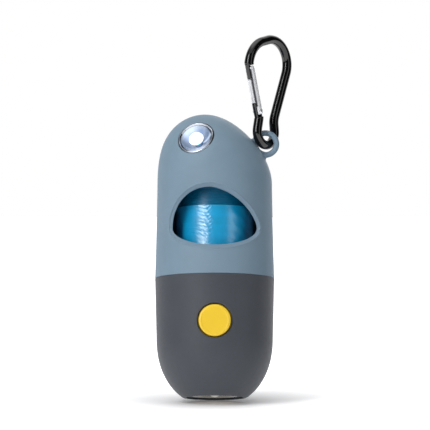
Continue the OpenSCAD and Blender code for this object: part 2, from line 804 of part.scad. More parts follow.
// The lead from a contact strip over the roll to the lamp's board
module lamp_wire(side) {
    wire([
        [side * strip_x, strip_y + strip_t / 2, strip_top],
        [side * strip_x, strip_y + strip_t / 2, strip_top + 1],
        [side * strip_x, strip_y - 1.4, strip_top + 5],
        [side * 3.6, 10.6, roll_top + 2],
        [side * 3, 3, roll_top + 4.4],
        lamp_point([side * 2.4, 3.6, -lamp_depth - 3]),
        lamp_point([side * 2.4, 3.6, -lamp_depth - 1]),
        lamp_point([side * 2.4, 3.6, lamp_floor])
    ]);
}

module lamp_wire_red() { color("#b3262a") lamp_wire(1); }

module lamp_wire_black() { color("#1d1d1f") lamp_wire(-1); }

module roll_core() {
    color("#b59a74") ring(core_bore_r, core_bore_r + core_wall, roll_z, roll_h);
}

module bag_roll() {
    inner = core_bore_r + core_wall;
    top_r = inner + 3.6;
    step_w = (roll_r - 0.5 - top_r) / roll_steps;
    step_h = (roll_h - roll_full_h) / roll_steps;
    steps = [for (i = [0 : roll_steps - 1], upper = [0, 1])
        [roll_r - 0.5 - i * step_w, roll_z + roll_full_h + (i + upper) * step_h]];
    color("#0c93c4") rotate_extrude() polygon(concat(
        [[inner, roll_z], [roll_r - 0.6, roll_z], [roll_r, roll_z + 0.6], [roll_r, roll_z + roll_full_h]],
        steps,
        [[inner, roll_top]]
    ));
}

module button_cap() {
    edge = 0.5;
    skirt = button_face_y - button_flange_y;
    color("#f6c93f") translate([0, -plunger_y, button_z]) rotate([90, 0, 0]) rotate_extrude() polygon([
        [0, 0],
        [button_flange_r, 0],
        [button_flange_r, button_flange_t],
        [button_r, button_flange_t],
        [button_r, button_flange_t + skirt - edge],
        [button_r - edge, button_flange_t + skirt],
        [0, button_flange_t + skirt]
    ]);
}

module switch_plunger() {
    color("#8d2f2a") bar_y(0, button_z, -plunger_y, -board_y - switch_t + 0.3, plunger_r);
}

module battery_cap() {
    slot_x = 3.5;
    color("#c9ccd1") difference() {
        union() {
            cylinder_from(cap_z, cap_top_z, cap_r);
            intersection() {
                cylinder_from(lug_z, lug_z + lug_t, cap_r + lug_reach);
                translate([-2 * cap_r, -lug_w / 2, lug_z]) cube([4 * cap_r, lug_w, lug_t]);
            }
        }
        translate([0, 0, cap_z - 0.01]) cylinder(h = dish_depth, r1 = cap_r - 1.3, r2 = cap_r - 3.4);
        for (side = [-1, 1])
            translate([side * slot_x, 0, cap_z - cut]) cylinder(h = dish_depth + 1.4, r = 0.8);
        cylinder_from(cap_z - cut, cap_top_z + cut, rivet_r / 2 + slide_gap);
        rotate_extrude() translate([cap_r - 0.45, cap_z + 0.85]) circle(0.5);
    }
}

module cap_rivet() {
    head_z = cap_z + dish_depth;
    head_h = head_z - rivet_z;
    ball_r = (pow(rivet_r, 2) + pow(head_h, 2)) / (2 * head_h);
    color("#e2e4e8") union() {
        intersection() {
            translate([0, 0, rivet_z + ball_r]) sphere(ball_r);
            cylinder_from(rivet_z - cut, head_z - 0.01, rivet_r);
        }
        cylinder_from(head_z - 0.01, cap_top_z, rivet_r / 2);
        cylinder_from(cap_top_z, cap_top_z + 0.4, rivet_r);
    }
}

module cap_spring() {
    t = 0.5;
    low_r = 5.8;
    high_r = 3.6;
    color("#d0d3d6") rotate_extrude() polygon([
        [low_r, cap_top_z],
        [low_r + t, cap_top_z],
        [high_r + t, cell_z],
        [high_r, cell_z]
    ]);
}

module cap_seal() {
    color("#161719") rotate_extrude() translate([cap_r - 0.45, cap_z + 0.85]) circle(0.45);
}

// The carabiner's own plane, where X runs across it, Y up it and Z along the gate's pin
module at_clip() {
    translate([loop_x, 0, loop_z]) rotate([0, clip_lean, 0]) rotate([0, 0, clip_twist])
        translate([0, 0, -eye_drop]) rotate([90, 0, 0]) children();
}

// The gate's frame, where Y runs up the gate from its pin and +X points into the opening
module at_gate() {
    at_clip() translate([pivot[0], pivot[1], 0]) rotate(gate_turn) children();
}

function arc_points(r, centre, from, to, steps) = [for (i = [0 : steps])
    let (t = from + (to - from) * i / steps) [centre[0] + r * cos(t), centre[1] + r * sin(t), 0]];

// Rounded corner at b on the way from a to c, from the distance before b to the distance after it
function corner_points(a, b, c, before, after, steps) =
    let (start = b + before * unit(a - b), end = b + after * unit(c - b))
    [for (i = [0 : steps]) let (t = i / steps)
        let (p = (1 - t) * (1 - t) * start + 2 * t * (1 - t) * b + t * t * end) [p[0], p[1], 0]];

// The wire's route, from the nose over the arch and round the eye to the gate's end
function clip_path() =
    let (
        eye_left = [-eye_right[0], eye_right[1]],
        gate_dir = [-sin(gate_turn), cos(gate_turn)]
    )
    concat(
        [[nose[0], nose[1], 0]],
        arc_points(arch_left_r, arch_left_centre, nose_angle, arch_join, 9),
        arc_points(arch_r, arch_centre, arch_join, arch_end, 15),
        corner_points(arch_right, waist_right, eye_right, 1.8, 1.8, 5),
        arc_points(eye_r, [0, eye_r], eye_end, -180 - eye_end, 20),
        corner_points(eye_left, waist_left, waist_left + gate_dir, 1.6, waist_after, 4)
    );

module carabiner_frame() {
    color("#17181b") difference() {
        union() {
            at_clip() swept_tube(clip_path(), clip_wire_r, 14, [0, 0, 1]);
            at_gate() {
                bar_along(-tongue_down, 0, tongue_r, tongue_t);
                translate([0, 0, -tongue_t / 2]) cylinder(h = tongue_t, r = tongue_r);
                outer_strip(-ear_down, ear_up);
                outer_strip(gate_len - lip_len, gate_len + lip_root);
            }
        }
        at_gate() cylinder(h = 4 * gate_r, r = gate_pin_r + 0.01, center = true);
    }
}

// Flat bar along Y in the gate's frame, of half-width r and thickness t
module bar_along(y0, y1, r, t) {
    translate([-r, y0, -t / 2]) cube([2 * r, y1 - y0, t]);
}

// Strip on the outer side of the wire's line, in the gate's frame from y0 to y1
module outer_strip(y0, y1) {
    intersection() {
        translate([0, y0, 0]) rotate([-90, 0, 0]) cylinder(h = y1 - y0, r = clip_wire_r);
        translate([-2 * clip_wire_r, y0, -tongue_t / 2])
            cube([2 * clip_wire_r - lip_x, y1 - y0, tongue_t]);
    }
}

module gate_pin() {
    color("#b9bcc1") at_gate() cylinder(h = 2 * gate_r + 0.5, r = gate_pin_r, center = true);
}

module clip_gate() {
    spring_bore_r = 0.8;
    color("#c4c6ca") at_gate() difference() {
        translate([0, -gate_down, 0]) rotate([-90, 0, 0]) cylinder(h = gate_len + gate_down, r = gate_r);
        translate([-2 * gate_r, -2 * gate_down, -tongue_t / 2 - tongue_gap])
            cube([4 * gate_r, 2 * gate_down + slot_up, tongue_t + 2 * tongue_gap]);
        translate([-2 * gate_r, gate_len - lip_len - seat_gap, -tongue_t / 2 - lip_gap])
            cube([2 * gate_r - lip_x + seat_gap, lip_len + 2, tongue_t + 2 * lip_gap]);
        cylinder(h = 4 * gate_r, r = gate_pin_r + slide_gap, center = true);
        translate([0, slot_up - cut, 0]) rotate([-90, 0, 0])
            cylinder(h = gate_spring_len + 0.2 + cut, r = spring_bore_r);
    }
}

module gate_spring() {
    color("#9a9ca0") at_gate() translate([0, slot_up, 0]) rotate([-90, 0, 0])
        ring(0.4, 0.75, 0, gate_spring_len);
}

lower_shell();
battery_tube();
battery_cell();
positive_contact();
negative_contact();
deck_plate();
deck_screws();
roll_spindle();
neck_seal();
switch_board();
switch_body();
driver_chip();
board_parts();
board_screws();
contact_fingers();
battery_wire_red();
battery_wire_black();
finger_wire_red();
finger_wire_black();
upper_shell();
lamp_bezel();
lamp_reflector();
led_lens();
led_base();
led_board();
lamp_gasket();
lamp_cup();
lamp_screws();
contact_strips();
lamp_wire_red();
lamp_wire_black();
roll_core();
bag_roll();
button_cap();
switch_plunger();
battery_cap();
cap_rivet();
cap_spring();
cap_seal();
carabiner_frame();
gate_pin();
clip_gate();
gate_spring();
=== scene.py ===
"""Looks of the bag dispenser: a domed upper shell with a lamp, a dark lower shell, a roll of film,
a button, a battery cap and a carabiner."""
import math

import bpy
import numpy as np
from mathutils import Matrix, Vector


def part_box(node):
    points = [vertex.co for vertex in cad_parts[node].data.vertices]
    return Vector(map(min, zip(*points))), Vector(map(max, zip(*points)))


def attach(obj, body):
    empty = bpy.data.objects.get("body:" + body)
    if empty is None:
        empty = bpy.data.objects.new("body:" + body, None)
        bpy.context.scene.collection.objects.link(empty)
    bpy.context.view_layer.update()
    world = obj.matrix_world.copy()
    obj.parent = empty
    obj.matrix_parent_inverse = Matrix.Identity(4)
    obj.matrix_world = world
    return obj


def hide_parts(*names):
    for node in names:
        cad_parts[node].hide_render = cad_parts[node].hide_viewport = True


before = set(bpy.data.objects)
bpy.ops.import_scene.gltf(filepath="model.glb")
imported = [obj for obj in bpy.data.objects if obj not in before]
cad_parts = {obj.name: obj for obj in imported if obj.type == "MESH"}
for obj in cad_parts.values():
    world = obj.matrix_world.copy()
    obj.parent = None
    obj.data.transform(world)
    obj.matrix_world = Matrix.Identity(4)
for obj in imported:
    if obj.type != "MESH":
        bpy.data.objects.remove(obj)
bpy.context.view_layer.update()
MM = 0.001
scene = bpy.context.scene

# Body, in millimetres, as in the part's source
SEAM_Z = 48.0
SEAM_R = 23.9
SEAM_EDGE = 0.22
DOME_Z = 86.0
DOME_R = 23.0
DOME_H = 28.0
DOME_POWER = 1.92
DOME_LEAN = 4.0
LEAN_TOP = 117.0
WALL = 2.0
FOOT_Z = 24.0
FOOT_R = 23.35
FOOT_POWER = 2.2
RIM_R = 12.7
RIM_W = 1.1
NECK_R = 21.75
NECK_BORE = 21.85
NECK_IN = 19.9
NECK_H = 6.0
NECK_GAP = 0.3
NECK_ROOT = SEAM_Z - 3.0
NECK_SLOPE = 2.5
RING_R = 0.6
BASE_IN = 3.2

# Posts of the deck's screws and of the switch board
POST_RING = 17.4
POST_R = 2.4
POST_Z = (11.0, 38.0)
PILOT_R = 0.95
PILOT_Z = 31.0
BOARD_POST_X = 10.4
BOARD_POST_R = 1.8
BOARD_POST_Y = 14.3

# Ribs of the contact strips
RIB_X = 4.0
RIB_W = 3.0
RIB_Y = 18.9
RIB_Z = 70.5
RIB_H = 31.0

# Window: an arch whose two sides differ, over a flatter sill
WINDOW_X = -2.05
WINDOW_Z = 66.7
ARCH_H = 16.0
ARCH_LEFT = 14.7
ARCH_RIGHT = 18.85
LEFT_POWER = 2.15
RIGHT_POWER = 1.62
SILL_W = 16.775
SILL_H = 7.2
SILL_POWER = 2.0
LIP_CUT = 1.6

# Button and roll
BUTTON_Z = 29.2
BUTTON_R = 6.4
BUTTON_HOLE_R = 6.9
ROLL_Z = 41.4
ROLL_H = 55.6
ROLL_R = 15.5
ROLL_BORE = 7.0
LOOSE_H = 34.8

# Lamp
LAMP_TURN = 19.0
LAMP_TILT = 28.5
LAMP_AT = (-7.8364, -17.1901, 103.3154)
LAMP_SET = 0.7
LAMP_BORE = 7.75
LAMP_EDGE = 0.7
COLLAR = 0.6
COLLAR_IN = 7.0
COLLAR_OUT = 21.0
BOSS_R = 8.6
BOSS_Z = (-2.6, -0.6)
EAR_X = 9.4
EAR_R = 1.8
EAR_Z = (-5.8, -2.4)

# Loop for the carabiner, and the web under it
LOOP = (20.4, 0.0, 102.3)
LOOP_R = 4.43
LOOP_WIRE = 1.16
LOOP_FILL = 1.3
WEB_TOP = np.array([19.2, 97.9])
WEB_FOOT = np.array([16.5, 91.0])
WEB_R = 1.1

# Distance given to what is out of reach
FAR = 99.0
UPRIGHT = np.array([[1, 0, 0], [0, 0, -1], [0, 1, 0]], float)


def rad(a):
    return math.radians(a)


def smoothstep(a, b, x):
    t = np.clip((x - a) / (b - a), 0, 1)
    return t * t * (3 - 2 * t)


def about_z(a):
    """Turn about Z by an angle in radians."""
    return np.array([[math.cos(a), -math.sin(a), 0], [math.sin(a), math.cos(a), 0], [0, 0, 1]])


# Fields: distances in millimetres, negative inside

def all_of(first, *rest):
    """Intersection of fields."""
    for field in rest:
        first = np.maximum(first, field)
    return first


def slab(v, levels):
    """Space between two levels of v."""
    return np.maximum(v - levels[1], levels[0] - v)


def smooth_min(a, b, k):
    h = np.clip(0.5 + 0.5 * (b - a) / k, 0, 1)
    return b + (a - b) * h - k * h * (1 - h)


def round_max(a, b, r):
    """Intersection with its edge rounded to the radius r."""
    return np.minimum(np.maximum(a, b), -r) + np.hypot(np.maximum(a + r, 0), np.maximum(b + r, 0))


def round_min(a, b, r):
    """Union with its inner corner filled to the radius r."""
    return np.maximum(np.minimum(a, b), r) - np.hypot(np.maximum(r - a, 0), np.maximum(r - b, 0))


def power_oval(u, v, a, b, p):
    """Distance to the curve |u/a|^p + |v/b|^p = 1."""
    u = np.maximum(np.abs(u), 1e-6) / a
    v = np.maximum(np.abs(v), 1e-6) / b
    g = (u ** p + v ** p) ** (1 / p)
    du = g ** (1 - p) * u ** (p - 1) / a
    dv = g ** (1 - p) * v ** (p - 1) / b
    return (g - 1) / np.hypot(du, dv)


# Upper shell

def upper_outside(x, y, z):
    """Side and dome, whose top leans to the left."""
    rho = np.hypot(x + DOME_LEAN * smoothstep(DOME_Z, LEAN_TOP, z), y)
    t = np.clip((DOME_Z - z) / (DOME_Z - SEAM_Z), 0, None)
    side = rho - (DOME_R + (SEAM_R - DOME_R) * t ** 1.25)
    dome = power_oval(rho, np.maximum(z - DOME_Z, 0), DOME_R, DOME_H, DOME_POWER)
    return np.where(z > DOME_Z, dome, side)


def lamp_axes():
    t = rad(90 - LAMP_TILT)
    tilt = np.array([[1, 0, 0], [0, math.cos(t), -math.sin(t)], [0, math.sin(t), math.cos(t)]])
    return about_z(rad(-LAMP_TURN)) @ tilt


LAMP_M = lamp_axes()
LAMP_O = np.array(LAMP_AT) - LAMP_SET * LAMP_M[:, 2]


def in_lamp(x, y, z):
    """Place in the lamp's own axes, z outwards."""
    p = [x - LAMP_O[0], y - LAMP_O[1], z - LAMP_O[2]]
    return [sum(p[i] * LAMP_M[i, k] for i in range(3)) for k in range(3)]


def lamp_collar(out, lr, lz):
    """Outside swelled round the lamp and cut flat in front of it."""
    swell = out - COLLAR * (1 - smoothstep(COLLAR_IN, COLLAR_OUT, lr))
    return round_max(swell, lz, LAMP_EDGE)


def lamp_boss(lx, ly, lz, out):
    """Boss round the lamp, with the two ears of its screws."""
    boss = all_of(np.hypot(lx, ly) - BOSS_R, slab(lz, BOSS_Z), out + 0.5)
    ears = all_of(np.hypot(np.abs(lx) - EAR_X, ly) - EAR_R, slab(lz, EAR_Z), out + 1)
    return np.minimum(boss, ears)


def strip_ribs(x, y, z, out):
    return all_of(np.abs(np.abs(x) - RIB_X) - RIB_W / 2, np.abs(z - RIB_Z) - RIB_H / 2, RIB_Y - y, out + 1)


def window(x, z):
    """Distance to the window's outline, negative in the opening."""
    u, v = x - WINDOW_X, z - WINDOW_Z
    left = power_oval(u, v, ARCH_LEFT, ARCH_H, LEFT_POWER)
    right = power_oval(u, v, ARCH_RIGHT, ARCH_H, RIGHT_POWER)
    sill = power_oval(x, v, SILL_W, SILL_H, SILL_POWER)
    return np.where(z < WINDOW_Z, sill, np.where(x < WINDOW_X, left, right))


def loop_field(x, y, z):
    """Ring of the loop and its web down to the shoulder."""
    ring = np.hypot(np.hypot(x - LOOP[0], z - LOOP[2]) - LOOP_R, y) - LOOP_WIRE
    run = WEB_FOOT - WEB_TOP
    u, v = x - WEB_TOP[0], z - WEB_TOP[1]
    t = np.clip((u * run[0] + v * run[1]) / (run @ run), 0, 1)
    web = np.hypot(np.hypot(u - t * run[0], v - t * run[1]), y) - WEB_R
    return smooth_min(ring, web, 1.0)


def upper_field(x, y, z):
    """The whole upper shell. The lamp's forms and the loop count only in their own surroundings."""
    out = upper_outside(x, y, z)
    lx, ly, lz = in_lamp(x, y, z)
    lr = np.hypot(lx, ly)
    near = (lz > -9) & (lr < 14)
    out = np.where((lz > -22) & (lr < COLLAR_OUT), lamp_collar(out, lr, lz), out)
    neck = np.maximum(np.hypot(x, y) - NECK_BORE, z - SEAM_Z - NECK_H - NECK_GAP)
    inner = np.minimum(out + WALL, neck)
    loop = loop_field(x, y, z)
    out = np.where((loop < 6) & (x > 8), round_min(out, loop, LOOP_FILL), out)
    d = np.maximum(round_max(out, SEAM_Z - z, SEAM_EDGE), -inner)
    d = np.minimum(d, np.where(near, lamp_boss(lx, ly, lz, out), FAR))
    d = np.minimum(d, strip_ribs(x, y, z, out))
    d = np.maximum(d, -np.maximum(window(x, z) - LIP_CUT, y + 4))
    bore = np.maximum(lr - LAMP_BORE, -lz - 8)
    return round_max(d, np.where(near, -bore, -FAR), 0.25)


# Lower shell

FOOT_B = FOOT_Z / (1 - (RIM_R / FOOT_R) ** FOOT_POWER) ** (1 / FOOT_POWER)


def foot_curve(z):
    """Radius of the foot's outside at a height."""
    return FOOT_R * (1 - ((FOOT_Z - z) / FOOT_B) ** FOOT_POWER) ** (1 / FOOT_POWER)


def lower_side(z):
    return FOOT_R + (SEAM_R - FOOT_R) * np.clip((z - FOOT_Z) / (SEAM_Z - FOOT_Z), 0, 1)


def lower_wall(rho, z, inset):
    """Side and foot of the lower shell, moved inwards by the inset."""
    foot = power_oval(rho, np.minimum(z - FOOT_Z, 0), FOOT_R - inset, FOOT_B - inset, FOOT_POWER)
    return np.where(z > FOOT_Z, rho - lower_side(z) + inset, foot)


def lower_hollow(rho, z):
    """Space inside the shell, which narrows to the bore of the neck."""
    hollow = np.maximum(lower_wall(rho, z, WALL), BASE_IN - z)
    slope = rho - NECK_IN - (NECK_ROOT - z) / NECK_SLOPE * (lower_side(z) - WALL - NECK_IN)
    hollow = np.where(z > NECK_ROOT - NECK_SLOPE, slope, hollow)
    return np.where(z > NECK_ROOT, rho - NECK_IN, hollow)


def lower_neck(rho, z):
    """Neck that the upper shell goes over, with the groove of its rubber ring."""
    neck = round_max(rho - NECK_R, z - SEAM_Z - NECK_H, 0.4)
    groove = np.hypot(rho - NECK_R + 0.5, z - SEAM_Z - NECK_H / 2) - RING_R
    return all_of(neck, NECK_ROOT - z, -groove)


def lower_posts(x, y, z, out):
    """Posts of the deck's screws with their pilot holes, and posts of the switch board."""
    posts = np.full(np.shape(x), FAR)
    for a in (90, 210, 330):
        off = np.hypot(x - POST_RING * math.cos(rad(a)), y - POST_RING * math.sin(rad(a)))
        pilot = np.maximum(off - PILOT_R, PILOT_Z - z)
        posts = np.minimum(posts, all_of(off - POST_R, slab(z, POST_Z), -pilot, out + 1))
    for s in (-1, 1):
        off = np.hypot(x - s * BOARD_POST_X, z - BUTTON_Z)
        posts = np.minimum(posts, all_of(off - BOARD_POST_R, y + BOARD_POST_Y, out + 1))
    return posts


def lower_field(x, y, z):
    """The whole lower shell."""
    rho = np.hypot(x, y)
    out = lower_wall(rho, z, 0)
    body = round_max(round_max(out, z - SEAM_Z, SEAM_EDGE), -z, 0.3)
    d = np.maximum(np.minimum(body, lower_neck(rho, z)), -lower_hollow(rho, z))
    d = round_max(d, -np.maximum(rho - RIM_R + RIM_W, z - 4), 0.2)
    d = np.minimum(d, lower_posts(x, y, z, out))
    hole = np.maximum(np.hypot(x, z - BUTTON_Z) - BUTTON_HOLE_R, y + 10)
    return round_max(d, -hole, 0.35)


# Meshes from fields

CORNERS = [(a, b, c) for a in (0, 1) for b in (0, 1) for c in (0, 1)]


def near_level(coarse, limit):
    """True in the cells near the zero level and in their neighbours."""
    keep = np.abs(coarse) < limit
    for axis in range(3):
        grown = keep.copy()
        a, b = [slice(None)] * 3, [slice(None)] * 3
        a[axis], b[axis] = slice(1, None), slice(None, -1)
        grown[tuple(a)] |= keep[tuple(b)]
        grown[tuple(b)] |= keep[tuple(a)]
        keep = grown
    return keep


def sample_field(field, axes, cell):
    """Field on a grid: every sample near the zero level, and one in three elsewhere."""
    def spread(grid):
        return grid.repeat(3, 0).repeat(3, 1).repeat(3, 2)[tuple(slice(len(a)) for a in axes)]

    coarse = field(*np.meshgrid(*[a[::3] for a in axes], indexing="ij"))
    values = spread(coarse).astype(float)
    i, j, k = np.nonzero(spread(near_level(coarse, 4.5 * cell)))
    values[i, j, k] = field(axes[0][i], axes[1][j], axes[2][k])
    return values


def crossed_cells(inside):
    """Cells with corners on both sides of the zero level."""
    n = inside.shape
    total = np.zeros([m - 1 for m in n], int)
    for a, b, c in CORNERS:
        total += inside[a:n[0] - 1 + a, b:n[1] - 1 + b, c:n[2] - 1 + c]
    return np.argwhere((total > 0) & (total < 8))


def cell_points(values, cells):
    """Mean of the crossings on each cell's edges, counted in cells."""
    point = np.zeros((len(cells), 3))
    count = np.zeros(len(cells))
    for a in CORNERS:
        for axis in [k for k in range(3) if not a[k]]:
            b = list(a)
            b[axis] = 1
            va, vb = values[tuple((cells + a).T)], values[tuple((cells + b).T)]
            cross = (va < 0) != (vb < 0)
            point += cross[:, None] * a
            point[:, axis] += np.where(cross, va / np.where(cross, va - vb, 1), 0)
            count += cross
    return point / count[:, None] + cells


def crossing_faces(inside, index):
    """Four-sided face round each grid edge that crosses the zero level."""
    faces = []
    for axis in range(3):
        u, v = (axis + 1) % 3, (axis + 2) % 3
        first, second = [slice(1, -1)] * 3, [slice(1, -1)] * 3
        first[axis], second[axis] = slice(0, -1), slice(1, None)
        a, b = inside[tuple(first)], inside[tuple(second)]
        for crossing, order in ((a & ~b, 1), (b & ~a, -1)):
            ring = []
            for du, dv in ((0, 0), (1, 0), (1, 1), (0, 1)):
                spots = np.argwhere(crossing)
                spots[:, u] += du
                spots[:, v] += dv
                ring.append(index[tuple(spots.T)])
            faces.append(np.array(ring[::order]).T)
    return np.concatenate(faces)


def gradient(field, p, h=0.02):
    """Unit gradient of a field at points, and its value divided by the gradient's length."""
    g = np.empty_like(p)
    for axis in range(3):
        q = p.copy()
        q[:, axis] += h
        r = p.copy()
        r[:, axis] -= h
        g[:, axis] = (field(*q.T) - field(*r.T)) / (2 * h)
    length = np.maximum(np.linalg.norm(g, axis=1), 1e-6)
    return g / length[:, None], field(*p.T) / np.maximum(length, 0.3)


def field_mesh(field, lo, hi, cell):
    """Closed mesh of a field's zero level, as points, four-sided faces and normals.
    Every sample lies half a cell off the box's lower corner."""
    n = [int(math.ceil((hi[k] - lo[k]) / cell)) + 1 for k in range(3)]
    axes = [lo[k] + cell * (np.arange(n[k]) - 0.5) for k in range(3)]
    values = sample_field(field, axes, cell)
    inside = values < 0
    cells = crossed_cells(inside)
    index = np.full([m - 1 for m in n], -1)
    index[tuple(cells.T)] = np.arange(len(cells))
    point = cell_points(values, cells) * cell + [a[0] for a in axes]
    for pull in (0.9, 1, 1, 1):
        normal, value = gradient(field, point)
        point -= np.clip(value, -0.4 * cell, 0.4 * cell)[:, None] * normal * pull
    return point, crossing_faces(inside, index), gradient(field, point)[0]


def build_mesh(name, points, faces, normals=None, sharp=None):
    """Mesh object from points in millimetres, with edges sharp from that angle on."""
    mesh = bpy.data.meshes.new(name)
    mesh.from_pydata((np.asarray(points) * MM).tolist(), [], [list(map(int, f)) for f in faces])
    mesh.polygons.foreach_set("use_smooth", [True] * len(mesh.polygons))
    if normals is not None:
        mesh.normals_split_custom_set_from_vertices(np.asarray(normals).tolist())
    mesh.update()
    if sharp is not None:
        mesh.set_sharp_from_angle(angle=rad(sharp))
    obj = bpy.data.objects.new(name, mesh)
    scene.collection.objects.link(obj)
    return obj


def from_field(name, field, lo, hi, cell, axes=np.eye(3), origin=(0, 0, 0)):
    """Mesh of a field that is given in its own axes."""
    points, faces, normals = field_mesh(field, lo, hi, cell)
    return build_mesh(name, points @ axes.T + origin, faces, normals @ axes.T)


def place(obj, body, slot, material, *nodes):
    obj.data.materials.clear()
    obj.data.materials.append(material)
    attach(obj, body)
    if nodes:
        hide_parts(*nodes)
    return obj


# Meshes from outlines and paths

def ring_faces(rows, sides, closed=False):
    """Four-sided faces between rows of points; closed joins the last row to the first."""
    faces = []
    for i in range(rows if closed else rows - 1):
        a, b = i * sides, (i + 1) % rows * sides
        for k in range(sides):
            m = (k + 1) % sides
            faces.append([a + k, a + m, b + m, b + k])
    return faces


def rounded_profile(profile):
    """Profile with corners rounded: each point is (r, z) or (r, z, radius)."""
    out = []
    for i, point in enumerate(profile):
        p = np.array(point[:2], float)
        if len(point) < 3:
            out.append(p)
            continue
        a, b = np.array(profile[i - 1][:2], float) - p, np.array(profile[i + 1][:2], float) - p
        la, lb = np.linalg.norm(a), np.linalg.norm(b)
        a, b = a / la, b / lb
        half = math.acos(np.clip(a @ b, -1, 1)) / 2
        reach = min(point[2] / math.tan(half), 0.45 * la, 0.45 * lb)
        for t in np.linspace(0, 1, 6):
            out.append((1 - t) ** 2 * (p + reach * a) + 2 * t * (1 - t) * p + t * t * (p + reach * b))
    return out


def lathe(name, profile, sides=96, axes=np.eye(3), origin=(0, 0, 0), sharp=40):
    """Profile turned about Z. A closed profile repeats its first point; an open one ends on the axis."""
    points, faces, index = [], [], []
    for r, z in rounded_profile(profile):
        if r < 1e-6:
            index.append([len(points)] * sides)
            points.append((0, 0, z))
            continue
        index.append(list(range(len(points), len(points) + sides)))
        for k in range(sides):
            a = 2 * math.pi * k / sides
            points.append((r * math.cos(a), r * math.sin(a), z))
    for low, high in zip(index[:-1], index[1:]):
        for k in range(sides):
            m = (k + 1) % sides
            face = [low[k], low[m], high[m], high[k]]
            face = [v for j, v in enumerate(face) if v != face[j - 1]]
            if len(face) > 2:
                faces.append(face)
    return build_mesh(name, np.array(points) @ axes.T + origin, faces, sharp=sharp)


def tube(name, path, radius, sides):
    """Round tube along points in millimetres."""
    path = np.asarray(path, float)
    steps = np.gradient(path, axis=0)
    steps /= np.linalg.norm(steps, axis=1)[:, None]
    side = np.cross(steps[0], [0.31, 0.17, 0.93])
    points = []
    for i, p in enumerate(path):
        side = side - (side @ steps[i]) * steps[i]
        side /= np.linalg.norm(side)
        other = np.cross(steps[i], side)
        for k in range(sides):
            a = 2 * math.pi * k / sides
            points.append(p + radius * (math.cos(a) * side + math.sin(a) * other))
    faces = ring_faces(len(path), sides)
    faces.append(list(range(sides))[::-1])
    faces.append([(len(path) - 1) * sides + k for k in range(sides)])
    return build_mesh(name, points, faces, sharp=50)


# Materials

def linear(rgb):
    out = []
    for c in rgb:
        c /= 255
        out.append(c / 12.92 if c <= 0.04045 else ((c + 0.055) / 1.055) ** 2.4)
    return (*out, 1.0)


class Paint:
    """Principled material with procedural grain, built up call by call."""

    def __init__(self, name, color, rough=0.5, metal=0.0, **extra):
        self.mat = bpy.data.materials.new(name)
        self.mat.use_nodes = True
        self.tree = self.mat.node_tree
        self.shader = self.tree.nodes["Principled BSDF"]
        self.color = linear(color)
        self.set("Base Color", self.color)
        self.set("Roughness", rough)
        self.set("Metallic", metal)
        for key, value in extra.items():
            self.set(key.replace("_", " ").title().replace("Ior", "IOR"), value)
        self.place = self.tree.nodes.new("ShaderNodeTexCoord").outputs["Object"]
        self.bump_out = None

    def set(self, socket, value):
        self.shader.inputs[socket].default_value = value

    def node(self, kind, **values):
        made = self.tree.nodes.new(kind)
        for key, value in values.items():
            setattr(made, key, value)
        return made

    def link(self, a, b):
        self.tree.links.new(a, b)

    def attribute(self, name):
        return self.node("ShaderNodeAttribute", attribute_name=name).outputs["Fac"]

    def mix_color(self, factor, b, a=None, blend="MIX"):
        """Mixes a and b into the base colour; None stands for the colour before."""
        mix = self.node("ShaderNodeMix", data_type="RGBA", blend_type=blend)
        before = self.shader.inputs["Base Color"].links
        for socket, color in (("A", a), ("B", b)):
            if color is None:
                self.link(before[0].from_socket, mix.inputs[socket])
            else:
                mix.inputs[socket].default_value = color
        self.link(factor, mix.inputs["Factor"])
        self.link(mix.outputs["Result"], self.shader.inputs["Base Color"])
        return self

    def noise(self, size, detail=2.0, stretch=(1, 1, 1)):
        """Noise with features of that size in millimetres."""
        mapping = self.node("ShaderNodeMapping")
        mapping.inputs["Scale"].default_value = stretch
        self.link(self.place, mapping.inputs["Vector"])
        noise = self.node("ShaderNodeTexNoise")
        noise.inputs["Scale"].default_value = 1 / (size * MM)
        noise.inputs["Detail"].default_value = detail
        self.link(mapping.outputs["Vector"], noise.inputs["Vector"])
        return noise.outputs["Fac"]

    def ramp(self, value, low, high, start=0.3, end=0.7):
        made = self.node("ShaderNodeMapRange")
        for socket, level in (("From Min", start), ("From Max", end), ("To Min", low), ("To Max", high)):
            made.inputs[socket].default_value = level
        self.link(value, made.inputs["Value"])
        return made.outputs["Result"]

    def vary_rough(self, size, low, high, stretch=(1, 1, 1)):
        value = self.ramp(self.noise(size, 3, stretch), low, high)
        self.link(value, self.shader.inputs["Roughness"])
        return self

    def vary_color(self, size, amount, detail=3.0, stretch=(1, 1, 1)):
        darker = (*[c * (1 - amount) for c in self.color[:3]], 1)
        lighter = (*[min(1, c * (1 + amount)) for c in self.color[:3]], 1)
        return self.mix_color(self.ramp(self.noise(size, detail, stretch), 0, 1), lighter, darker)

    def bump(self, size, depth, detail=2.0, stretch=(1, 1, 1)):
        """Grain with features of that size and depth, in millimetres."""
        made = self.node("ShaderNodeBump")
        made.inputs["Strength"].default_value = 1.0
        made.inputs["Distance"].default_value = depth * MM
        self.link(self.noise(size, detail, stretch), made.inputs["Height"])
        if self.bump_out is not None:
            self.link(self.bump_out, made.inputs["Normal"])
        self.bump_out = made.outputs["Normal"]
        self.link(self.bump_out, self.shader.inputs["Normal"])
        return self


def soft_plastic(name, color, rough, grain=0.35, depth=0.012, **extra):
    paint = Paint(name, color, rough, **extra)
    paint.vary_color(9, 0.03).vary_rough(1.5, rough - 0.04, rough + 0.04)
    return paint.bump(grain, depth, 3).bump(4, 0.02, 1).mat


def metal(name, color, rough, patch, low, high, grain, depth, detail=2, shine=1.0, **extra):
    """Metal whose roughness wanders from low to high over patches of that size."""
    paint = Paint(name, color, rough, shine, **extra)
    return paint.vary_rough(patch, low, high).bump(grain, depth, detail)


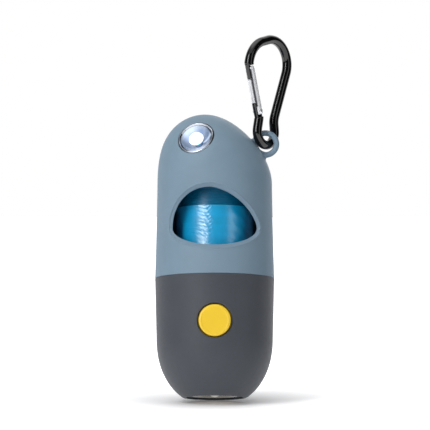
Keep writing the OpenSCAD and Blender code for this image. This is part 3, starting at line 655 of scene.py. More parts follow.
def mirror_material():
    """Bright reflector with painted highlights: the lamp's light on it is painted as a glow where its shine
    attribute is high.
    """
    paint = Paint("reflector_mirror", (124, 140, 160), 0.3, 0.4)
    paint.vary_rough(1.2, 0.14, 0.3).bump(1.4, 0.03, 2)
    paint.set("Emission Color", linear((226, 236, 250)))
    glow = paint.ramp(paint.attribute("shine"), 0.0, 0.75, 0.1, 1.1)
    paint.link(glow, paint.shader.inputs["Emission Strength"])
    return paint.mat


def gate_material():
    """Bright sheet metal with painted shade: dark in its fold lines and along one side, where its shade
    attribute is low.
    """
    paint = Paint("gate_aluminium", (238, 239, 242), 0.26, 0.15)
    paint.vary_color(2, 0.05).vary_rough(0.6, 0.2, 0.34).bump(0.4, 0.003, 2)
    return paint.mix_color(paint.attribute("shade"), None, linear((40, 41, 50))).mat


def film_material():
    """Glossy blue film with painted shade on the tighter layers above the loose one's edge: darker there,
    with less coat and less shine.
    """
    paint = Paint("bag_film", (0, 170, 226), 0.36, coat_weight=1.0, coat_roughness=0.26, coat_ior=1.8)
    paint.vary_color(5, 0.1, 3, (0.5, 0.5, 1.5)).vary_rough(1.2, 0.28, 0.4, (0.4, 0.4, 2))
    split = paint.node("ShaderNodeSeparateXYZ")
    paint.link(paint.place, split.inputs["Vector"])
    edge = (ROLL_Z + LOOSE_H) * MM

    def step(below, above):
        return paint.ramp(split.outputs["Z"], below, above, edge - 0.1 * MM, edge)

    # Painted shade: above the edge the colour is darkened, and the coat and shine are lowered.
    paint.mix_color(step(0, 1), (0.35, 0.38, 0.4, 1), blend="MULTIPLY")
    paint.link(step(1, 0.2), paint.shader.inputs["Coat Weight"])
    paint.link(step(0.5, 0.2), paint.shader.inputs["Specular IOR Level"])
    return paint.bump(1.2, 0.02, 3, (0.6, 0.6, 1.4)).mat


def glow_material(name, color, strength):
    paint = Paint(name, color, 0.15)
    paint.set("Emission Color", linear(color))
    paint.set("Emission Strength", strength)
    return paint.bump(1.5, 0.01, 1).mat


upper_paint = soft_plastic("upper_soft_touch", (126, 150, 168), 0.58, specular_ior_level=0.35)
lower_paint = soft_plastic("lower_soft_touch", (72, 76, 83), 0.56, specular_ior_level=0.35)
button_paint = soft_plastic("button_yellow", (255, 211, 50), 0.42, 0.3, 0.006)
black_paint = soft_plastic("black_plastic", (24, 25, 27), 0.5)
deck_paint = soft_plastic("deck_plastic", (46, 49, 54), 0.5)
rubber_paint = Paint("black_rubber", (20, 20, 22), 0.75).bump(0.3, 0.01, 3).mat
chrome_paint = metal("bezel_chrome", (178, 182, 190), 0.07, 2.0, 0.04, 0.11, 3, 0.01, 1).mat
mirror_paint = mirror_material()
cap_paint = metal("cap_nickel", (176, 170, 160), 0.1, 1.0, 0.07, 0.14, 0.6, 0.006, 3).vary_color(4, 0.22).mat
rivet_paint = metal("rivet_nickel", (222, 220, 214), 0.1, 0.8, 0.08, 0.16, 0.5, 0.003, 3).mat
brass_paint = metal("contact_brass", (200, 168, 96), 0.24, 0.8, 0.16, 0.32, 0.4, 0.004).mat
steel_paint = metal("zinc_steel", (190, 192, 196), 0.28, 0.5, 0.2, 0.36, 0.3, 0.004).mat
pin_paint = metal("pin_steel", (214, 215, 218), 0.2, 0.5, 0.14, 0.26, 0.3, 0.003, shine=0.8).mat
gate_paint = gate_material()
wire_paint = metal("anodised_black", (7, 7, 8), 0.1, 1.5, 0.08, 0.12, 2.5, 0.004, shine=0, ior=1.54).mat
board_paint = Paint("board_green", (32, 104, 66), 0.32).vary_color(1.5, 0.2).bump(0.5, 0.01).mat
parts_paint = Paint("ceramic_parts", (196, 178, 142), 0.4).vary_color(0.8, 0.1).mat
led_paint = Paint("led_ceramic", (240, 238, 224), 0.45).bump(0.4, 0.004).mat
sleeve_paint = Paint("cell_sleeve", (52, 118, 102), 0.24, coat_weight=0.3).bump(3, 0.03).mat
card_paint = Paint("core_card", (196, 166, 124), 0.85).vary_color(1.2, 0.08, 4, (1, 1, 0.15))
card_paint = card_paint.bump(0.4, 0.02, 4).mat
red_paint = Paint("lead_red", (176, 34, 36), 0.35).bump(0.5, 0.005).mat
black_lead_paint = Paint("lead_black", (22, 22, 24), 0.35).bump(0.5, 0.005).mat
film_paint = film_material()
glow_paint = glow_material("lens_glow", (250, 253, 255), 1.5)
edge_paint = glow_material("lens_edge", (84, 160, 228), 1.1)

# Shells
shell_cell = 0.46
upper = from_field("upper_shell_form", upper_field, (-26.22, -25.3, SEAM_Z), (29.0, 25.3, 116), shell_cell)
place(upper, "upper", "upper_plastic", upper_paint, "upper_shell")
lower = from_field("lower_shell_form", lower_field, (-25.3, -25.3, 0), (25.3, 25.3, SEAM_Z + 7.6), shell_cell)
place(lower, "base", "lower_plastic", lower_paint, "lower_shell")

# Crisp round edges of the two shells where they meet: radius, height from the seam, and rounding
SEAM_SECTION = [(22.3, 1.3), (22.3, 0.004), (SEAM_R + 0.02, 0.004, 0.24), (SEAM_R + 0.016, 0.7),
                (SEAM_R - 0.08, 1.3)]


def seam_edge(name, way):
    """Edge above the seam for way 1, below it for -1."""
    rows = [(r, SEAM_Z + way * h, *bend) for r, h, *bend in SEAM_SECTION]
    return lathe(name, rows + rows[:1] if way > 0 else rows[:1] + rows[::-1], 256, sharp=30)


place(seam_edge("upper_seam_edge", 1), "upper", "upper_plastic", upper_paint)
place(seam_edge("lower_seam_edge", -1), "base", "lower_plastic", lower_paint)

# Crisp edge of the foot
rim_bore = RIM_R - RIM_W - 0.015
foot_end = (11.7, 2.0)
foot_out = [(foot_curve(z) + grow, z) for z, grow in ((0.5, 0.02), (1.2, 0.015), (2.0, -0.08))]
foot_edge = lathe("lower_foot_edge", [
    foot_end, (rim_bore, 1.2), (rim_bore, 0.0, 0.2), (RIM_R - 0.1, 0.0, 0.3), *foot_out, foot_end],
    192, sharp=30)
place(foot_edge, "base", "lower_plastic", lower_paint)

# Lip round the window, a thin bead with a bevel inside it: distance from the outline, height on the face
LIP = [(2.4, -0.35), (2.1, -0.05), (1.93, 0.04), (1.78, 0.14), (1.62, 0.2), (1.46, 0.16), (1.34, 0.05),
       (1.27, -0.06), (0.7, -0.5), (0.2, -0.88), (0.08, -0.98), (0.02, -1.1), (0, -1.25), (0, -1.85),
       (0.06, -2.0), (0.2, -2.06), (1.2, -2.08), (2.3, -2.0), (2.6, -1.2)]
LIP_STEP = 0.28
LIP_TURN = rad(2.5)


def window_edge():
    """Outline of the window and its outward directions, closer together where it turns."""
    t = np.linspace(0, 2 * np.pi, 9001)[:-1]
    c, s = np.cos(t), np.sin(t)
    up, left = s >= 0, c < 0
    p = np.where(up, np.where(left, LEFT_POWER, RIGHT_POWER), SILL_POWER)
    a = np.where(up, np.where(left, ARCH_LEFT, ARCH_RIGHT), SILL_W)
    x = a * np.sign(c) * np.abs(c) ** (2 / p) + np.where(up, WINDOW_X, 0)
    z = WINDOW_Z + np.where(up, ARCH_H, SILL_H) * np.sign(s) * np.abs(s) ** (2 / p)
    way = np.stack([np.roll(z, -4) - np.roll(z, 4), np.roll(x, 4) - np.roll(x, -4)], 1)
    way /= np.linalg.norm(way, axis=1)[:, None]
    turn = np.arccos(np.clip((way * np.roll(way, -1, 0)).sum(1), -1, 1))
    step = np.hypot(np.roll(x, -1) - x, np.roll(z, -1) - z) / LIP_STEP + turn / LIP_TURN
    along = np.concatenate([[0], np.cumsum(step)])
    pick = np.unique(np.searchsorted(along, np.linspace(0, along[-1], int(along[-1]), endpoint=False)))
    pick = pick[pick < len(x)]
    return np.stack([x, z], 1)[pick], way[pick]


def window_lip():
    edge, way = window_edge()
    points = []
    for w, depth in LIP:
        x, z = (edge + w * way).T
        y = np.full(len(x), -19.0)
        for _ in range(25):
            y -= 0.7 * (depth - upper_outside(x, y, z))
        points += list(np.stack([x, y, z], 1))
    return build_mesh("window_lip", points, ring_faces(len(LIP), len(edge), closed=True), sharp=45)


place(window_lip(), "upper", "upper_plastic", upper_paint)

# Crisp round edge of the shell's hole for the lamp: radius, height on the collar
SEAT = [(8.7, -0.08), (8.25, 0.01), (7.75, 0.015), (7.6, -0.02), (7.5, -0.09), (7.44, -0.22), (7.42, -0.6),
        (7.42, -1.7), (8.7, -1.7)]


def lamp_seat():
    around = np.linspace(0, 2 * np.pi, 240, endpoint=False)
    points = []
    for r, depth in SEAT:
        x, y = r * np.cos(around), r * np.sin(around)
        z = np.zeros(len(around))
        for _ in range(25):
            at = np.stack([x, y, z], 1) @ LAMP_M.T + LAMP_O
            z -= 0.8 * (lamp_collar(upper_outside(*at.T), r, z) - depth)
        points += list(np.stack([x, y, z], 1) @ LAMP_M.T + LAMP_O)
    faces = [face[::-1] for face in ring_faces(len(SEAT), len(around), closed=True)]
    return build_mesh("lamp_seat_edge", points, faces, sharp=50)


place(lamp_seat(), "upper", "upper_plastic", upper_paint)

# Button
button_face = -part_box("button_cap")[0][1] / MM
flange_r = 7.8
flange_back = button_face - 4.78
flange_face = button_face - 4.02
button = lathe("button_face", [
    (0, button_face - 4.0), (flange_r, flange_back, 0.15), (flange_r, flange_face, 0.15),
    (BUTTON_R, flange_face, 0.1), (BUTTON_R, button_face - 0.25, 0.45),
    (BUTTON_R - 0.9, button_face - 0.02, 0.3), (BUTTON_R - 1.3, button_face - 0.12, 0.3),
    (0, button_face - 0.05)], 96, UPRIGHT, (0, 0, BUTTON_Z))
place(button, "button", "button_plastic", button_paint, "button_cap")


def lobe(turn, centre, width):
    """Bump of 1 at an angle, in degrees."""
    off = (turn - centre + 180) % 360 - 180
    return np.exp(-(off / width) ** 2)


def local_points(obj, axes, origin):
    """Vertices in millimetres, in their own axes."""
    return (np.array([v.co for v in obj.data.vertices]) / MM - origin) @ axes


def set_attribute(obj, name, values):
    made = obj.data.attributes.new(name, "FLOAT", "POINT")
    made.data.foreach_set("value", values.astype(np.float32))


# Lamp
CONE_IN = 1.9
CONE_OUT = 6.15
CONE_FOOT = -4.6
LENS_R = 2.95
LENS_Z = -1.15
LENS_H = 2.1
LENS_GLOW = -0.9
LENS_EDGE = -1.7
STEM_R = 1.8

ring = lathe("lamp_ring", [
    (6.2, -2.5), (7.3, -2.5, 0.1), (7.3, -0.45, 0.2), (7.08, -0.05, 0.2), (6.84, 0.02, 0.15),
    (6.7, -0.22, 0.1), (6.2, -0.9, 0.1), (6.2, -2.5)], 128, LAMP_M, LAMP_O)
place(ring, "upper", "bezel_chrome", chrome_paint, "lamp_bezel")

bowl = [(CONE_IN + (CONE_OUT - CONE_IN) * t ** 0.6, -4.5 + 4.05 * t) for t in np.linspace(0, 1, 18)]
cone_end = (CONE_IN, CONE_FOOT)
reflector = lathe("lamp_reflector_bowl", [cone_end, *bowl, (CONE_OUT, -1.0), (3.6, CONE_FOOT), cone_end],
                  128, LAMP_M, LAMP_O)
place(reflector, "upper", "reflector_chrome", mirror_paint, "lamp_reflector")
# Painted highlights: the shine attribute makes the reflector glow in lobes at set angles round its axis, and
# more towards its middle.
x, y, _ = local_points(reflector, LAMP_M, LAMP_O).T
turn = np.degrees(np.arctan2(y, x))
painted_highlight = 1.2 * lobe(turn, 132, 46) + 1.25 * lobe(turn, -68, 44) + 0.75 * lobe(turn, 18, 8)
painted_highlight += 0.3 * lobe(turn, 62, 14) + 0.25 * np.clip((CONE_OUT - np.hypot(x, y)) / 3, 0, 1) ** 2
set_attribute(reflector, "shine", np.clip(painted_highlight, 0, 1.3))

dome = [(LENS_R * math.cos(rad(a)), LENS_Z + LENS_H * math.sin(rad(a))) for a in range(0, 91, 6)]
stem = [(0, -4.5), (STEM_R, -4.5), (STEM_R, -1.8, 0.2), (2.9, -1.55, 0.1)]
lens = lathe("lens_dome", stem + dome, 96, LAMP_M, LAMP_O)
place(lens, "upper", "lens", glow_paint, "led_lens")
lens.data.materials.append(edge_paint)
lens.data.materials.append(mirror_paint)
for face in lens.data.polygons:
    height = (np.array(face.center) / MM - LAMP_O) @ LAMP_M[:, 2]
    if height < LENS_GLOW:
        face.material_index = 1 if height > LENS_EDGE else 2


def film_rows():
    """Rows of the roll's outline: radius, height, and how much of the wrinkles the row takes."""
    foot, top, end = ROLL_Z, ROLL_Z + LOOSE_H, ROLL_Z + ROLL_H
    rows = [(r, foot, 0) for r in (ROLL_BORE, 8.5, 11, 13.5, 15.0)]
    rows += [(ROLL_R - 0.12, foot + 0.15, 0), (ROLL_R, foot + 0.5, 0.3)]
    rows += [(ROLL_R, z, 1.0) for z in np.arange(foot + 0.8, top - 0.3, 0.18)]
    rows += [(ROLL_R, top - 0.12, 0.5), (ROLL_R - 0.06, top - 0.02, 0.3), (15.3, top, 0.2), (14.95, top, 0.1)]
    steps, radius, z = 36, 14.9, top
    for i in range(steps):
        rise = (ROLL_H - LOOSE_H) / steps * (1.1 + 0.3 * math.sin(i * 2.3))
        rise = min(rise, end - 0.2 - z)
        drop = 0.115 * (1 + 0.6 * math.sin(i * 1.7 + 1))
        rows += [(radius, z + 0.1 * rise, 0.1), (radius + 0.01, z + 0.4 * rise, 0.2),
                 (radius, z + 0.7 * rise, 0.2), (radius - 0.04, z + 0.9 * rise, 0.15),
                 (radius - drop - 0.04, z + 0.96 * rise, 0.1)]
        radius, z = radius - drop, z + rise
    rows += [(r, end, 0) for r in (radius - 0.4, 8.6, ROLL_BORE)]
    return rows + [(ROLL_BORE, foot, 0)]


def film_roll():
    """Roll with its front crimped: seeded random fields shape the wrinkles."""
    rng = np.random.default_rng(7)
    sides = 360
    angle = 2 * np.pi * np.arange(sides) / sides
    front = (np.degrees(angle) - 270 + 180) % 360 - 180

    def wander(count, turns, rise):
        """Smooth random field over the angle and the height, about -1 to 1."""
        parts = []
        for _ in range(count):
            parts.append((rng.integers(1, turns), rng.uniform(-rise, rise), rng.uniform(0, 6.28)))
        return lambda z: sum(np.sin(k * angle + f * z + p) for k, f, p in parts) / math.sqrt(count)

    slow, drift, strength = wander(6, 5, 0.25), wander(7, 8, 0.5), wander(7, 9, 0.8)
    fine = wander(9, 26, 3.0)

    def waves(length, period):
        return np.sin(2 * np.pi * length / period)

    def spread(centre, width):
        return np.exp(-((front - centre) / width) ** 2)

    def wrinkles(z):
        """Crimped film: short waves that run down to both sides of a ridge, with gaps between."""
        off = (front + 13 + 4 * slow(z)) * np.pi / 180 * ROLL_R
        soft = 0.5 * (off + np.sqrt(off ** 2 + 0.5))
        phase = z + 0.28 * off - 1.3 * soft + 0.55 * drift(z)
        wave = waves(phase, 1.7)
        wave = wave + 0.6 * np.sin(2 * np.pi * (phase + 0.35 * off) / 0.95 + 4 * slow(z))
        wave = wave + 0.5 * np.sin(2 * np.pi * (off + 0.5 * z) / 3.1 + 2 * drift(z))
        reach = np.exp(-(off / np.where(off < 0, 5.5, 2.6)) ** 2)
        much = np.clip(0.6 + 0.55 * strength(z) + 0.25 * fine(0.4 * z), 0.1, 1.3) * (0.1 + 0.9 * reach)
        slack = waves(z + 0.2 * front + 0.8 * slow(z), 4.6) * spread(46, 18)
        small = waves(z + 0.09 * front + 0.6 * drift(z), 1.2) * spread(26, 11)
        return -0.14 + 0.05 * wave * much + 0.07 * slack + 0.022 * small * strength(z) + 0.004 * fine(z)

    rows = film_rows()
    points = []
    for r, z, amount in rows:
        rr = r + amount * np.clip(wrinkles(z), -0.32, 0.02)
        points += list(np.stack([rr * np.cos(angle), rr * np.sin(angle), np.full(sides, z)], 1))
    return build_mesh("bag_film_roll", points, ring_faces(len(rows), sides), sharp=60)


place(film_roll(), "roll", "film", film_paint, "bag_roll")

# Carabiner, drawn in its own plane: u across, w up, n along the gate's pin
TWIST = 50.0
CLIP_LEAN = 2.0
EYE_DROP = 0.4
WIRE_R = 1.9
GATE_R = 1.85
EYE_R = (WIRE_R + 1.1 + 1.14) / math.sin(rad(TWIST))
ARCH_C = np.array([2.3, 33.4])
ARCH_R = 9.6
ARCH_LEFT_R = 11.4
ARCH_JOIN = rad(107.5)
ARCH_RUN = 3.7
WAIST_U = 4.6
WAIST_RISE = 10.5
NOSE_ANGLE = rad(173)
NOSE_TURN = rad(14)
STRIP_T = 1.9
EAR_END = 3.4
LIP_LENGTH = 4.8
CREASE_R = 0.17


def turned(a):
    return np.array([math.cos(a), math.sin(a)])


def clip_axes():
    a = rad(CLIP_LEAN)
    lean = np.array([[math.cos(a), 0, math.sin(a)], [0, 1, 0], [-math.sin(a), 0, math.cos(a)]])
    m = lean @ about_z(rad(TWIST))
    return m @ UPRIGHT, np.array(LOOP) + m @ np.array([0, 0, -EYE_DROP])


def touch(centre, r, point, side):
    """Angle at which a line from the point touches the circle."""
    d = point - centre
    return math.atan2(d[1], d[0]) + side * math.acos(r / np.linalg.norm(d))


CLIP_M, CLIP_O = clip_axes()
join_dir = turned(ARCH_JOIN)
run_dir = turned(ARCH_JOIN + math.pi / 2)
arch_left_c = ARCH_C + (ARCH_R - ARCH_LEFT_R) * join_dir + ARCH_RUN * run_dir
waist_right = np.array([WAIST_U, WAIST_RISE])
waist_left = np.array([-WAIST_U, WAIST_RISE])
eye_c = np.array([0, EYE_R])
arch_end = touch(ARCH_C, ARCH_R, waist_right, 1)
eye_end = touch(eye_c, EYE_R, waist_right, -1)
arch_right = ARCH_C + ARCH_R * turned(arch_end)
eye_right = eye_c + EYE_R * turned(eye_end)
nose_dir = np.array([math.sin(NOSE_TURN), -math.cos(NOSE_TURN)])
nose = arch_left_c + ARCH_LEFT_R * turned(NOSE_ANGLE) + nose_dir
gate_turn = math.atan2(waist_left[0] - nose[0], nose[1] - waist_left[1])
gate_dir = np.array([-math.sin(gate_turn), math.cos(gate_turn)])
pivot = waist_left + 2.7 * gate_dir
gate_len = np.linalg.norm(nose - pivot) - 0.35 - WIRE_R * math.sin(abs(gate_turn - NOSE_TURN))


def clip_path():
    """Middle of the wire, from its nose over the arch and the eye to the gate's pin."""
    def arc(centre, r, start, end, steps):
        return [centre + r * turned(t) for t in np.linspace(start, end, steps)]

    def corner(a, b, c, before, after, steps):
        start = b + before * (a - b) / np.linalg.norm(a - b)
        end = b + after * (c - b) / np.linalg.norm(c - b)
        return [(1 - t) ** 2 * start + 2 * t * (1 - t) * b + t * t * end for t in np.linspace(0, 1, steps)]

    mirror = np.array([-1, 1])
    return np.array(
        [nose]
        + arc(arch_left_c, ARCH_LEFT_R, NOSE_ANGLE, ARCH_JOIN, 24)
        + arc(ARCH_C, ARCH_R, ARCH_JOIN, arch_end, 36)
        + corner(arch_right, waist_right, eye_right, 1.8, 1.8, 8)
        + arc(eye_c, EYE_R, eye_end, -math.pi - eye_end, 36)
        + corner(eye_right * mirror, waist_left, waist_left + gate_dir, 1.6, 0.4, 7))


PATH = clip_path()


def in_gate(u, w):
    c, s = math.cos(gate_turn), math.sin(gate_turn)
    return (u - pivot[0]) * c + (w - pivot[1]) * s, -(u - pivot[0]) * s + (w - pivot[1]) * c


def outer_strip(gx, gy, n, y0, y1):
    """Strip of the wire's round on its outer side, which runs in a slot of the gate."""
    ends = np.abs(gy - (y0 + y1) / 2) - (y1 - y0) / 2
    d = round_max(np.hypot(gx, n) - WIRE_R, np.abs(n) - STRIP_T / 2, 0.15)
    return round_max(round_max(d, gx + 0.6, 0.1), ends, 0.3)


def wire_field(u, w, n):
    """Wire cut off at the nose and under the pin, with its lip and the ear that holds the gate."""
    best = np.full(np.shape(u), FAR)
    for a, b in zip(PATH[:-1], PATH[1:]):
        ab = b - a
        t = np.clip(((u - a[0]) * ab[0] + (w - a[1]) * ab[1]) / max(ab @ ab, 1e-9), 0, 1)
        best = np.minimum(best, (u - a[0] - t * ab[0]) ** 2 + (w - a[1] - t * ab[1]) ** 2)
    d = np.sqrt(best + n * n) - WIRE_R
    gx, gy = in_gate(u, w)
    past = (u - nose[0]) * nose_dir[0] + (w - nose[1]) * nose_dir[1]
    d = np.where((u < -3) & (w > 18), round_max(d, past, 0.3), d)
    d = np.where((u < 0) & (w > 9) & (w < 16), round_max(d, gy + 2.3, 0.35), d)
    lip = outer_strip(gx, gy, n, gate_len - LIP_LENGTH, gate_len + 1.4)
    ear = outer_strip(gx, gy, n, -2.7, EAR_END)
    root = np.maximum(np.abs(gx) - 1.2, np.abs(gy + 1.7) - 1.7)
    tongue = np.maximum(np.abs(n) - STRIP_T / 2, np.minimum(np.hypot(gx, gy) - 1.2, root))
    hole = np.hypot(gx, gy) - 0.61
    return np.minimum(np.minimum(d, lip), np.maximum(np.minimum(tongue, ear), -hole))


def gate_field(gx, gy, n):
    """Sleeve with a slot for the ear, a notch for the lip, a fold line and two bores."""
    r = np.hypot(gx, n)
    d = round_max(r - GATE_R, np.abs(gy - (gate_len - 1.2) / 2) - (gate_len + 1.2) / 2, 0.3)
    slot = np.maximum(np.abs(n) - STRIP_T / 2 - 0.1, gy - EAR_END - 0.3)
    notch = all_of(gx + 0.3, np.abs(n) - STRIP_T / 2 - 0.15, gate_len - LIP_LENGTH - 0.3 - gy)
    crease = np.hypot(gx + 1.62, n - 0.9) - CREASE_R
    bore = np.maximum(r - 0.8, np.abs(gy - 8.1) - 4.7)
    hole = np.hypot(gx, gy) - 0.65
    for part in (notch, slot):
        d = round_max(d, -part, 0.1)
    return all_of(d, -crease, -bore, -hole)


wire = from_field("clip_wire", wire_field, (-14.4, -2.6, -2.3), (14.4, 45.4, 2.3), 0.28, CLIP_M, CLIP_O)
place(wire, "clip", "black_wire", wire_paint, "carabiner_frame")
GATE_M = CLIP_M @ about_z(gate_turn)
GATE_O = CLIP_O + CLIP_M @ np.array([pivot[0], pivot[1], 0])
gate_low, gate_high = (-2.3, -1.6, -2.3), (2.3, gate_len + 0.4, 2.3)
gate = from_field("clip_gate_sleeve", gate_field, gate_low, gate_high, 0.2, GATE_M, GATE_O)
place(gate, "gate", "gate_metal", gate_paint, "clip_gate")
x, y, z = local_points(gate, GATE_M, GATE_O).T
turn = np.degrees(np.arctan2(z, x)) % 360
along = smoothstep(1.9, 2.3, y) * (1 - smoothstep(gate_len - 1.0, gate_len - 0.6, y))
# Painted shade: dark lobes round the sleeve at its fold line, at its seam and along one side.
painted_shade = 1.5 * lobe(turn, 141, 15) + 0.4 * lobe(turn, 178, 9) + 0.4 * lobe(turn, 63, 11)
set_attribute(gate, "shade", np.clip(1 - along * painted_shade, 0, 1))
head = [(0.95, 1.7), (0.95, 1.82, 0.1), (0.5, 2.08, 0.1), (0, 2.12)]
foot = [(r, -z, *bend) for r, z, *bend in head[::-1]]
pin = lathe("gate_rivet", foot + [(0.6, -1.7), (0.6, 1.7)] + head, 32, GATE_M, GATE_O)
place(pin, "clip", "steel", pin_paint, "gate_pin")

# Battery cap, seen from below
CAP_R = 9.2
LUG_R = 10.05
LUG_W = 5.0
KEY_X = 3.5
KEY_R = 0.85
GROOVE_R = 8.75
RIVET_R = 2.657
RIVET_Z = 2.857
COIL_OUT = 6.0
COIL_IN = 3.7
COIL_TURNS = 3.6
COIL_Z = (4.62, 5.56)
COIL_WIRE = 0.2


def cap_field(x, y, z):
    """Dished disc with two bayonet lugs, two key holes and a groove for its seal."""
    rho = np.hypot(x, y)
    d = round_max(round_max(rho - CAP_R, 0.5 - z, 0.3), z - 4.4, 0.2)
    dish = 0.5 + 0.45 * (1 - smoothstep(5.8, 7.9, rho))
    d = np.maximum(d, (dish - z) * 0.9)
    d = np.minimum(d, all_of(rho - LUG_R, np.abs(y) - LUG_W / 2, np.abs(z - 3.5) - 0.4))
    for s in (-1, 1):
        hole = np.maximum(np.hypot(x - s * KEY_X, y) - KEY_R, z - 1.85)
        d = round_max(d, -hole, 0.2)
    groove = np.hypot(rho - GROOVE_R, z - 1.35) - 0.5
    return np.maximum(d, -np.where(rho > GROOVE_R - 0.05, groove, FAR))


cap = from_field("battery_cap_disc", cap_field, (-10.6, -9.8, 0.2), (10.6, 9.8, 4.8), 0.3)
place(cap, "cap", "cap_metal", cap_paint, "battery_cap")
head = [(RIVET_R * math.sin(rad(a)), RIVET_Z - RIVET_R * math.cos(rad(a))) for a in range(0, 45, 4)]
stem = [(1.85, 0.96), (0.92, 0.98), (0.92, 4.4), (1.85, 4.4), (1.85, 4.8, 0.1), (0, 4.8)]
rivet = lathe("cap_rivet_head", head + stem, 48)
place(rivet, "cap", "cap_metal", rivet_paint, "cap_rivet")


def coil_point(t):
    a = 2 * math.pi * COIL_TURNS * t
    r = COIL_OUT - (COIL_OUT - COIL_IN) * t
    return r * math.cos(a), r * math.sin(a), COIL_Z[0] + (COIL_Z[1] - COIL_Z[0]) * t


coil = tube("cap_spring_coil", [coil_point(t) for t in np.linspace(0, 1, 150)], COIL_WIRE, 10)
place(coil, "cap", "steel", steel_paint, "cap_spring")

# The other pieces keep their shape and take a finish
FINISHES = (
    (black_paint, "battery_tube switch_body driver_chip lamp_cup"),
    (black_lead_paint, "battery_wire_black finger_wire_black lamp_wire_black"),
    (red_paint, "battery_wire_red finger_wire_red lamp_wire_red"),
    (brass_paint, "positive_contact negative_contact contact_fingers contact_strips"),
    (steel_paint, "deck_screws board_screws lamp_screws gate_spring"),
    (deck_paint, "deck_plate roll_spindle switch_plunger"),
    (rubber_paint, "neck_seal lamp_gasket cap_seal"),
    (led_paint, "led_base led_board"),
    (board_paint, "switch_board"),
    (parts_paint, "board_parts"),
    (sleeve_paint, "battery_cell"),
    (card_paint, "roll_core"))
for paint, names in FINISHES:
    for name in names.split():
        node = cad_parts[name]
        node.data.materials.clear()
        node.data.materials.append(paint)

# Camera: a long lens, six degrees below the horizontal
ELEVATION = rad(-6)
FRAME_PX = 430
PIXEL = 0.4017 * MM
LENS = 500.0
SENSOR = 36.0
AIM = Vector((0.12, 0, 73.6)) * MM
cam_data = bpy.data.cameras.new("photo_camera")
cam_data.lens = LENS
cam_data.sensor_width = SENSOR
cam_data.clip_start = 0.1
cam_data.clip_end = 20
scene.camera = bpy.data.objects.new("photo_camera", cam_data)


def look_along(obj, location, way):
    obj.location = location
    obj.rotation_mode = "QUATERNION"
    obj.rotation_quaternion = way.to_track_quat("-Z", "Y")
    scene.collection.objects.link(obj)


look = Vector((0, math.cos(ELEVATION), -math.sin(ELEVATION)))
look_along(scene.camera, AIM - look * (FRAME_PX * PIXEL * LENS / SENSOR), look)

# Studio: the floor tips towards the camera, which looks from just below the base
FLOOR_TILT = rad(9.5)
FLOOR_SIZE = 1.2
SCREEN_R = 1.5
SCREEN_Z = (-1.2, 3.4)
SCREEN_HALF = rad(118)
SCREEN_SIDES = 36
SOFT = 0.16
DARK = 0.025
LIGHT_AIM = Vector((0, 0, 0.07))


def math_node(tree, operation, first, second):
    """Result of the operation, held between 0 and 1."""
    made = tree.nodes.new("ShaderNodeMath")
    made.operation = operation
    made.use_clamp = True
    tree.links.new(first, made.inputs[0])
    tree.links.new(second, made.inputs[1])
    return made.outputs[0]


def sees_white(tree):
    """1 for rays from the camera, off gloss and through glass."""
    path = tree.nodes.new("ShaderNodeLightPath")
    total = path.outputs["Is Camera Ray"]
    for ray in ("Is Glossy Ray", "Is Transmission Ray"):
        total = math_node(tree, "ADD", total, path.outputs[ray])
    return total


def mix_shaders(tree, factor, first, second):
    mix = tree.nodes.new("ShaderNodeMixShader")
    tree.links.new(factor, mix.inputs["Fac"])
    tree.links.new(first, mix.inputs[1])
    tree.links.new(second, mix.inputs[2])
    return mix.outputs["Shader"]


def floor_material():
    """Pale floor that keeps its real shadow and adds painted shadow round the object: its glow is low near
    the object and white from a hand's width away, and it is seen only from above.
    """
    paint = Paint("pale_floor", (248, 248, 249), 0.6, specular_ior_level=0.1)
    paint.bump(2, 0.02, 3)
    tree = paint.tree
    lit = paint.shader.outputs["BSDF"]
    length = paint.node("ShaderNodeVectorMath", operation="LENGTH")
    paint.link(paint.place, length.inputs[0])
    away = length.outputs["Value"]
    # Painted shade in reflections: the floor seen in gloss is dim near the object.
    gloss = paint.node("ShaderNodeLightPath").outputs["Is Glossy Ray"]
    gloss = math_node(tree, "MULTIPLY", gloss, paint.ramp(away, 0.25, 0.9, 0.006, 0.03))
    paper = paint.node("ShaderNodeEmission")
    # Painted shadow: the glow that the camera sees falls off near the object.
    most = math_node(tree, "MAXIMUM", gloss, paint.ramp(away, 0.08, 1.0, 0.014, 0.085))
    paint.link(most, paper.inputs["Strength"])
    both = paint.node("ShaderNodeAddShader")
    paint.link(lit, both.inputs[0])
    paint.link(paper.outputs["Emission"], both.inputs[1])
    clear = paint.node("ShaderNodeBsdfTransparent").outputs["BSDF"]
    back = paint.node("ShaderNodeNewGeometry").outputs["Backfacing"]
    facing = mix_shaders(tree, back, both.outputs["Shader"], clear)
    seen = mix_shaders(tree, sees_white(tree), lit, facing)
    paint.link(seen, tree.nodes["Material Output"].inputs["Surface"])
    return paint.mat


def screen_material():
    """Dark to reflections, dim to soft light, and clear to the camera."""
    mat = bpy.data.materials.new("studio_screen")
    mat.use_nodes = True
    tree = mat.node_tree
    tree.nodes.clear()
    out = tree.nodes.new("ShaderNodeOutputMaterial")
    rays = tree.nodes.new("ShaderNodeLightPath")
    glow = []
    for strength in (SOFT, DARK):
        emission = tree.nodes.new("ShaderNodeEmission")
        emission.inputs["Strength"].default_value = strength
        glow.append(emission.outputs["Emission"])
    clear = tree.nodes.new("ShaderNodeBsdfTransparent").outputs["BSDF"]
    gloss = mix_shaders(tree, rays.outputs["Is Glossy Ray"], *glow)
    seen = mix_shaders(tree, rays.outputs["Is Camera Ray"], gloss, clear)
    tree.links.new(seen, out.inputs["Surface"])
    return mat


def stage_piece(name, points, faces, material, location=(0, 0, 0)):
    mesh = bpy.data.meshes.new(name)
    mesh.from_pydata(points, [], faces)
    mesh.materials.append(material)
    obj = bpy.data.objects.new(name, mesh)
    obj.location = location
    scene.collection.objects.link(obj)


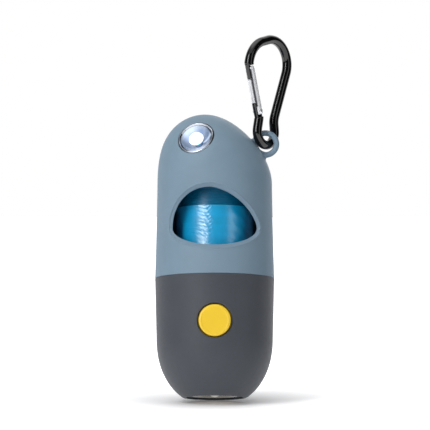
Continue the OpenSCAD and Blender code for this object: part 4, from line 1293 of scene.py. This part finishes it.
corners = [(sx * FLOOR_SIZE, sy * FLOOR_SIZE) for sx, sy in ((-1, -1), (1, -1), (1, 1), (-1, 1))]
floor = [(x, y * math.cos(FLOOR_TILT), y * math.sin(FLOOR_TILT)) for x, y in corners]
stage_piece("floor", floor, [(0, 1, 2, 3)], floor_material(), (0, RIM_R * MM, -0.05 * MM))
angles = np.linspace(-SCREEN_HALF, SCREEN_HALF, SCREEN_SIDES + 1).tolist()
walls = [(SCREEN_R * math.sin(a), -SCREEN_R * math.cos(a), z) for z in SCREEN_Z for a in angles]
faces = [(k, k + 1, k + SCREEN_SIDES + 2, k + SCREEN_SIDES + 1) for k in range(SCREEN_SIDES)]
stage_piece("screen", walls, faces, screen_material())


def area(name, azimuth, elevation, reach, width, height, watts):
    """Soft box at that azimuth from the camera's side, positive to the right."""
    data = bpy.data.lights.new(name, "AREA")
    data.shape = "RECTANGLE"
    data.size = width
    data.size_y = height
    data.energy = watts
    a, e = rad(azimuth), rad(elevation)
    way = Vector((math.sin(a) * math.cos(e), -math.cos(a) * math.cos(e), math.sin(e)))
    look_along(bpy.data.objects.new(name, data), LIGHT_AIM + way * reach, -way)


area("key_left", -38, 22, 1.0, 0.42, 0.9, 4.2)
area("strip_left", -33, 20, 1.0, 0.065, 1.0, 2.3)
area("fill_right", 52, 12, 1.1, 0.35, 0.9, 1.15)
area("top", -10, 75, 1.1, 1.4, 1.2, 4.3)
area("rim_back", 160, 30, 1.2, 0.6, 0.8, 2.2)


def backdrop(tree, color, strength):
    made = tree.nodes.new("ShaderNodeBackground")
    made.inputs["Color"].default_value = color
    made.inputs["Strength"].default_value = strength
    return made.outputs["Background"]


world = bpy.data.worlds.new("studio")
scene.world = world
world.use_nodes = True
tree = world.node_tree
tree.nodes.clear()
soft = backdrop(tree, (0.93, 0.95, 1, 1), SOFT)
white = backdrop(tree, (1, 1, 1, 1), 1.0)
out = tree.nodes.new("ShaderNodeOutputWorld")
tree.links.new(mix_shaders(tree, sees_white(tree), soft, white), out.inputs["Surface"])

scene.view_settings.view_transform = "Standard"
scene.view_settings.look = "None"
scene.view_settings.exposure = 0
scene.view_settings.gamma = 1
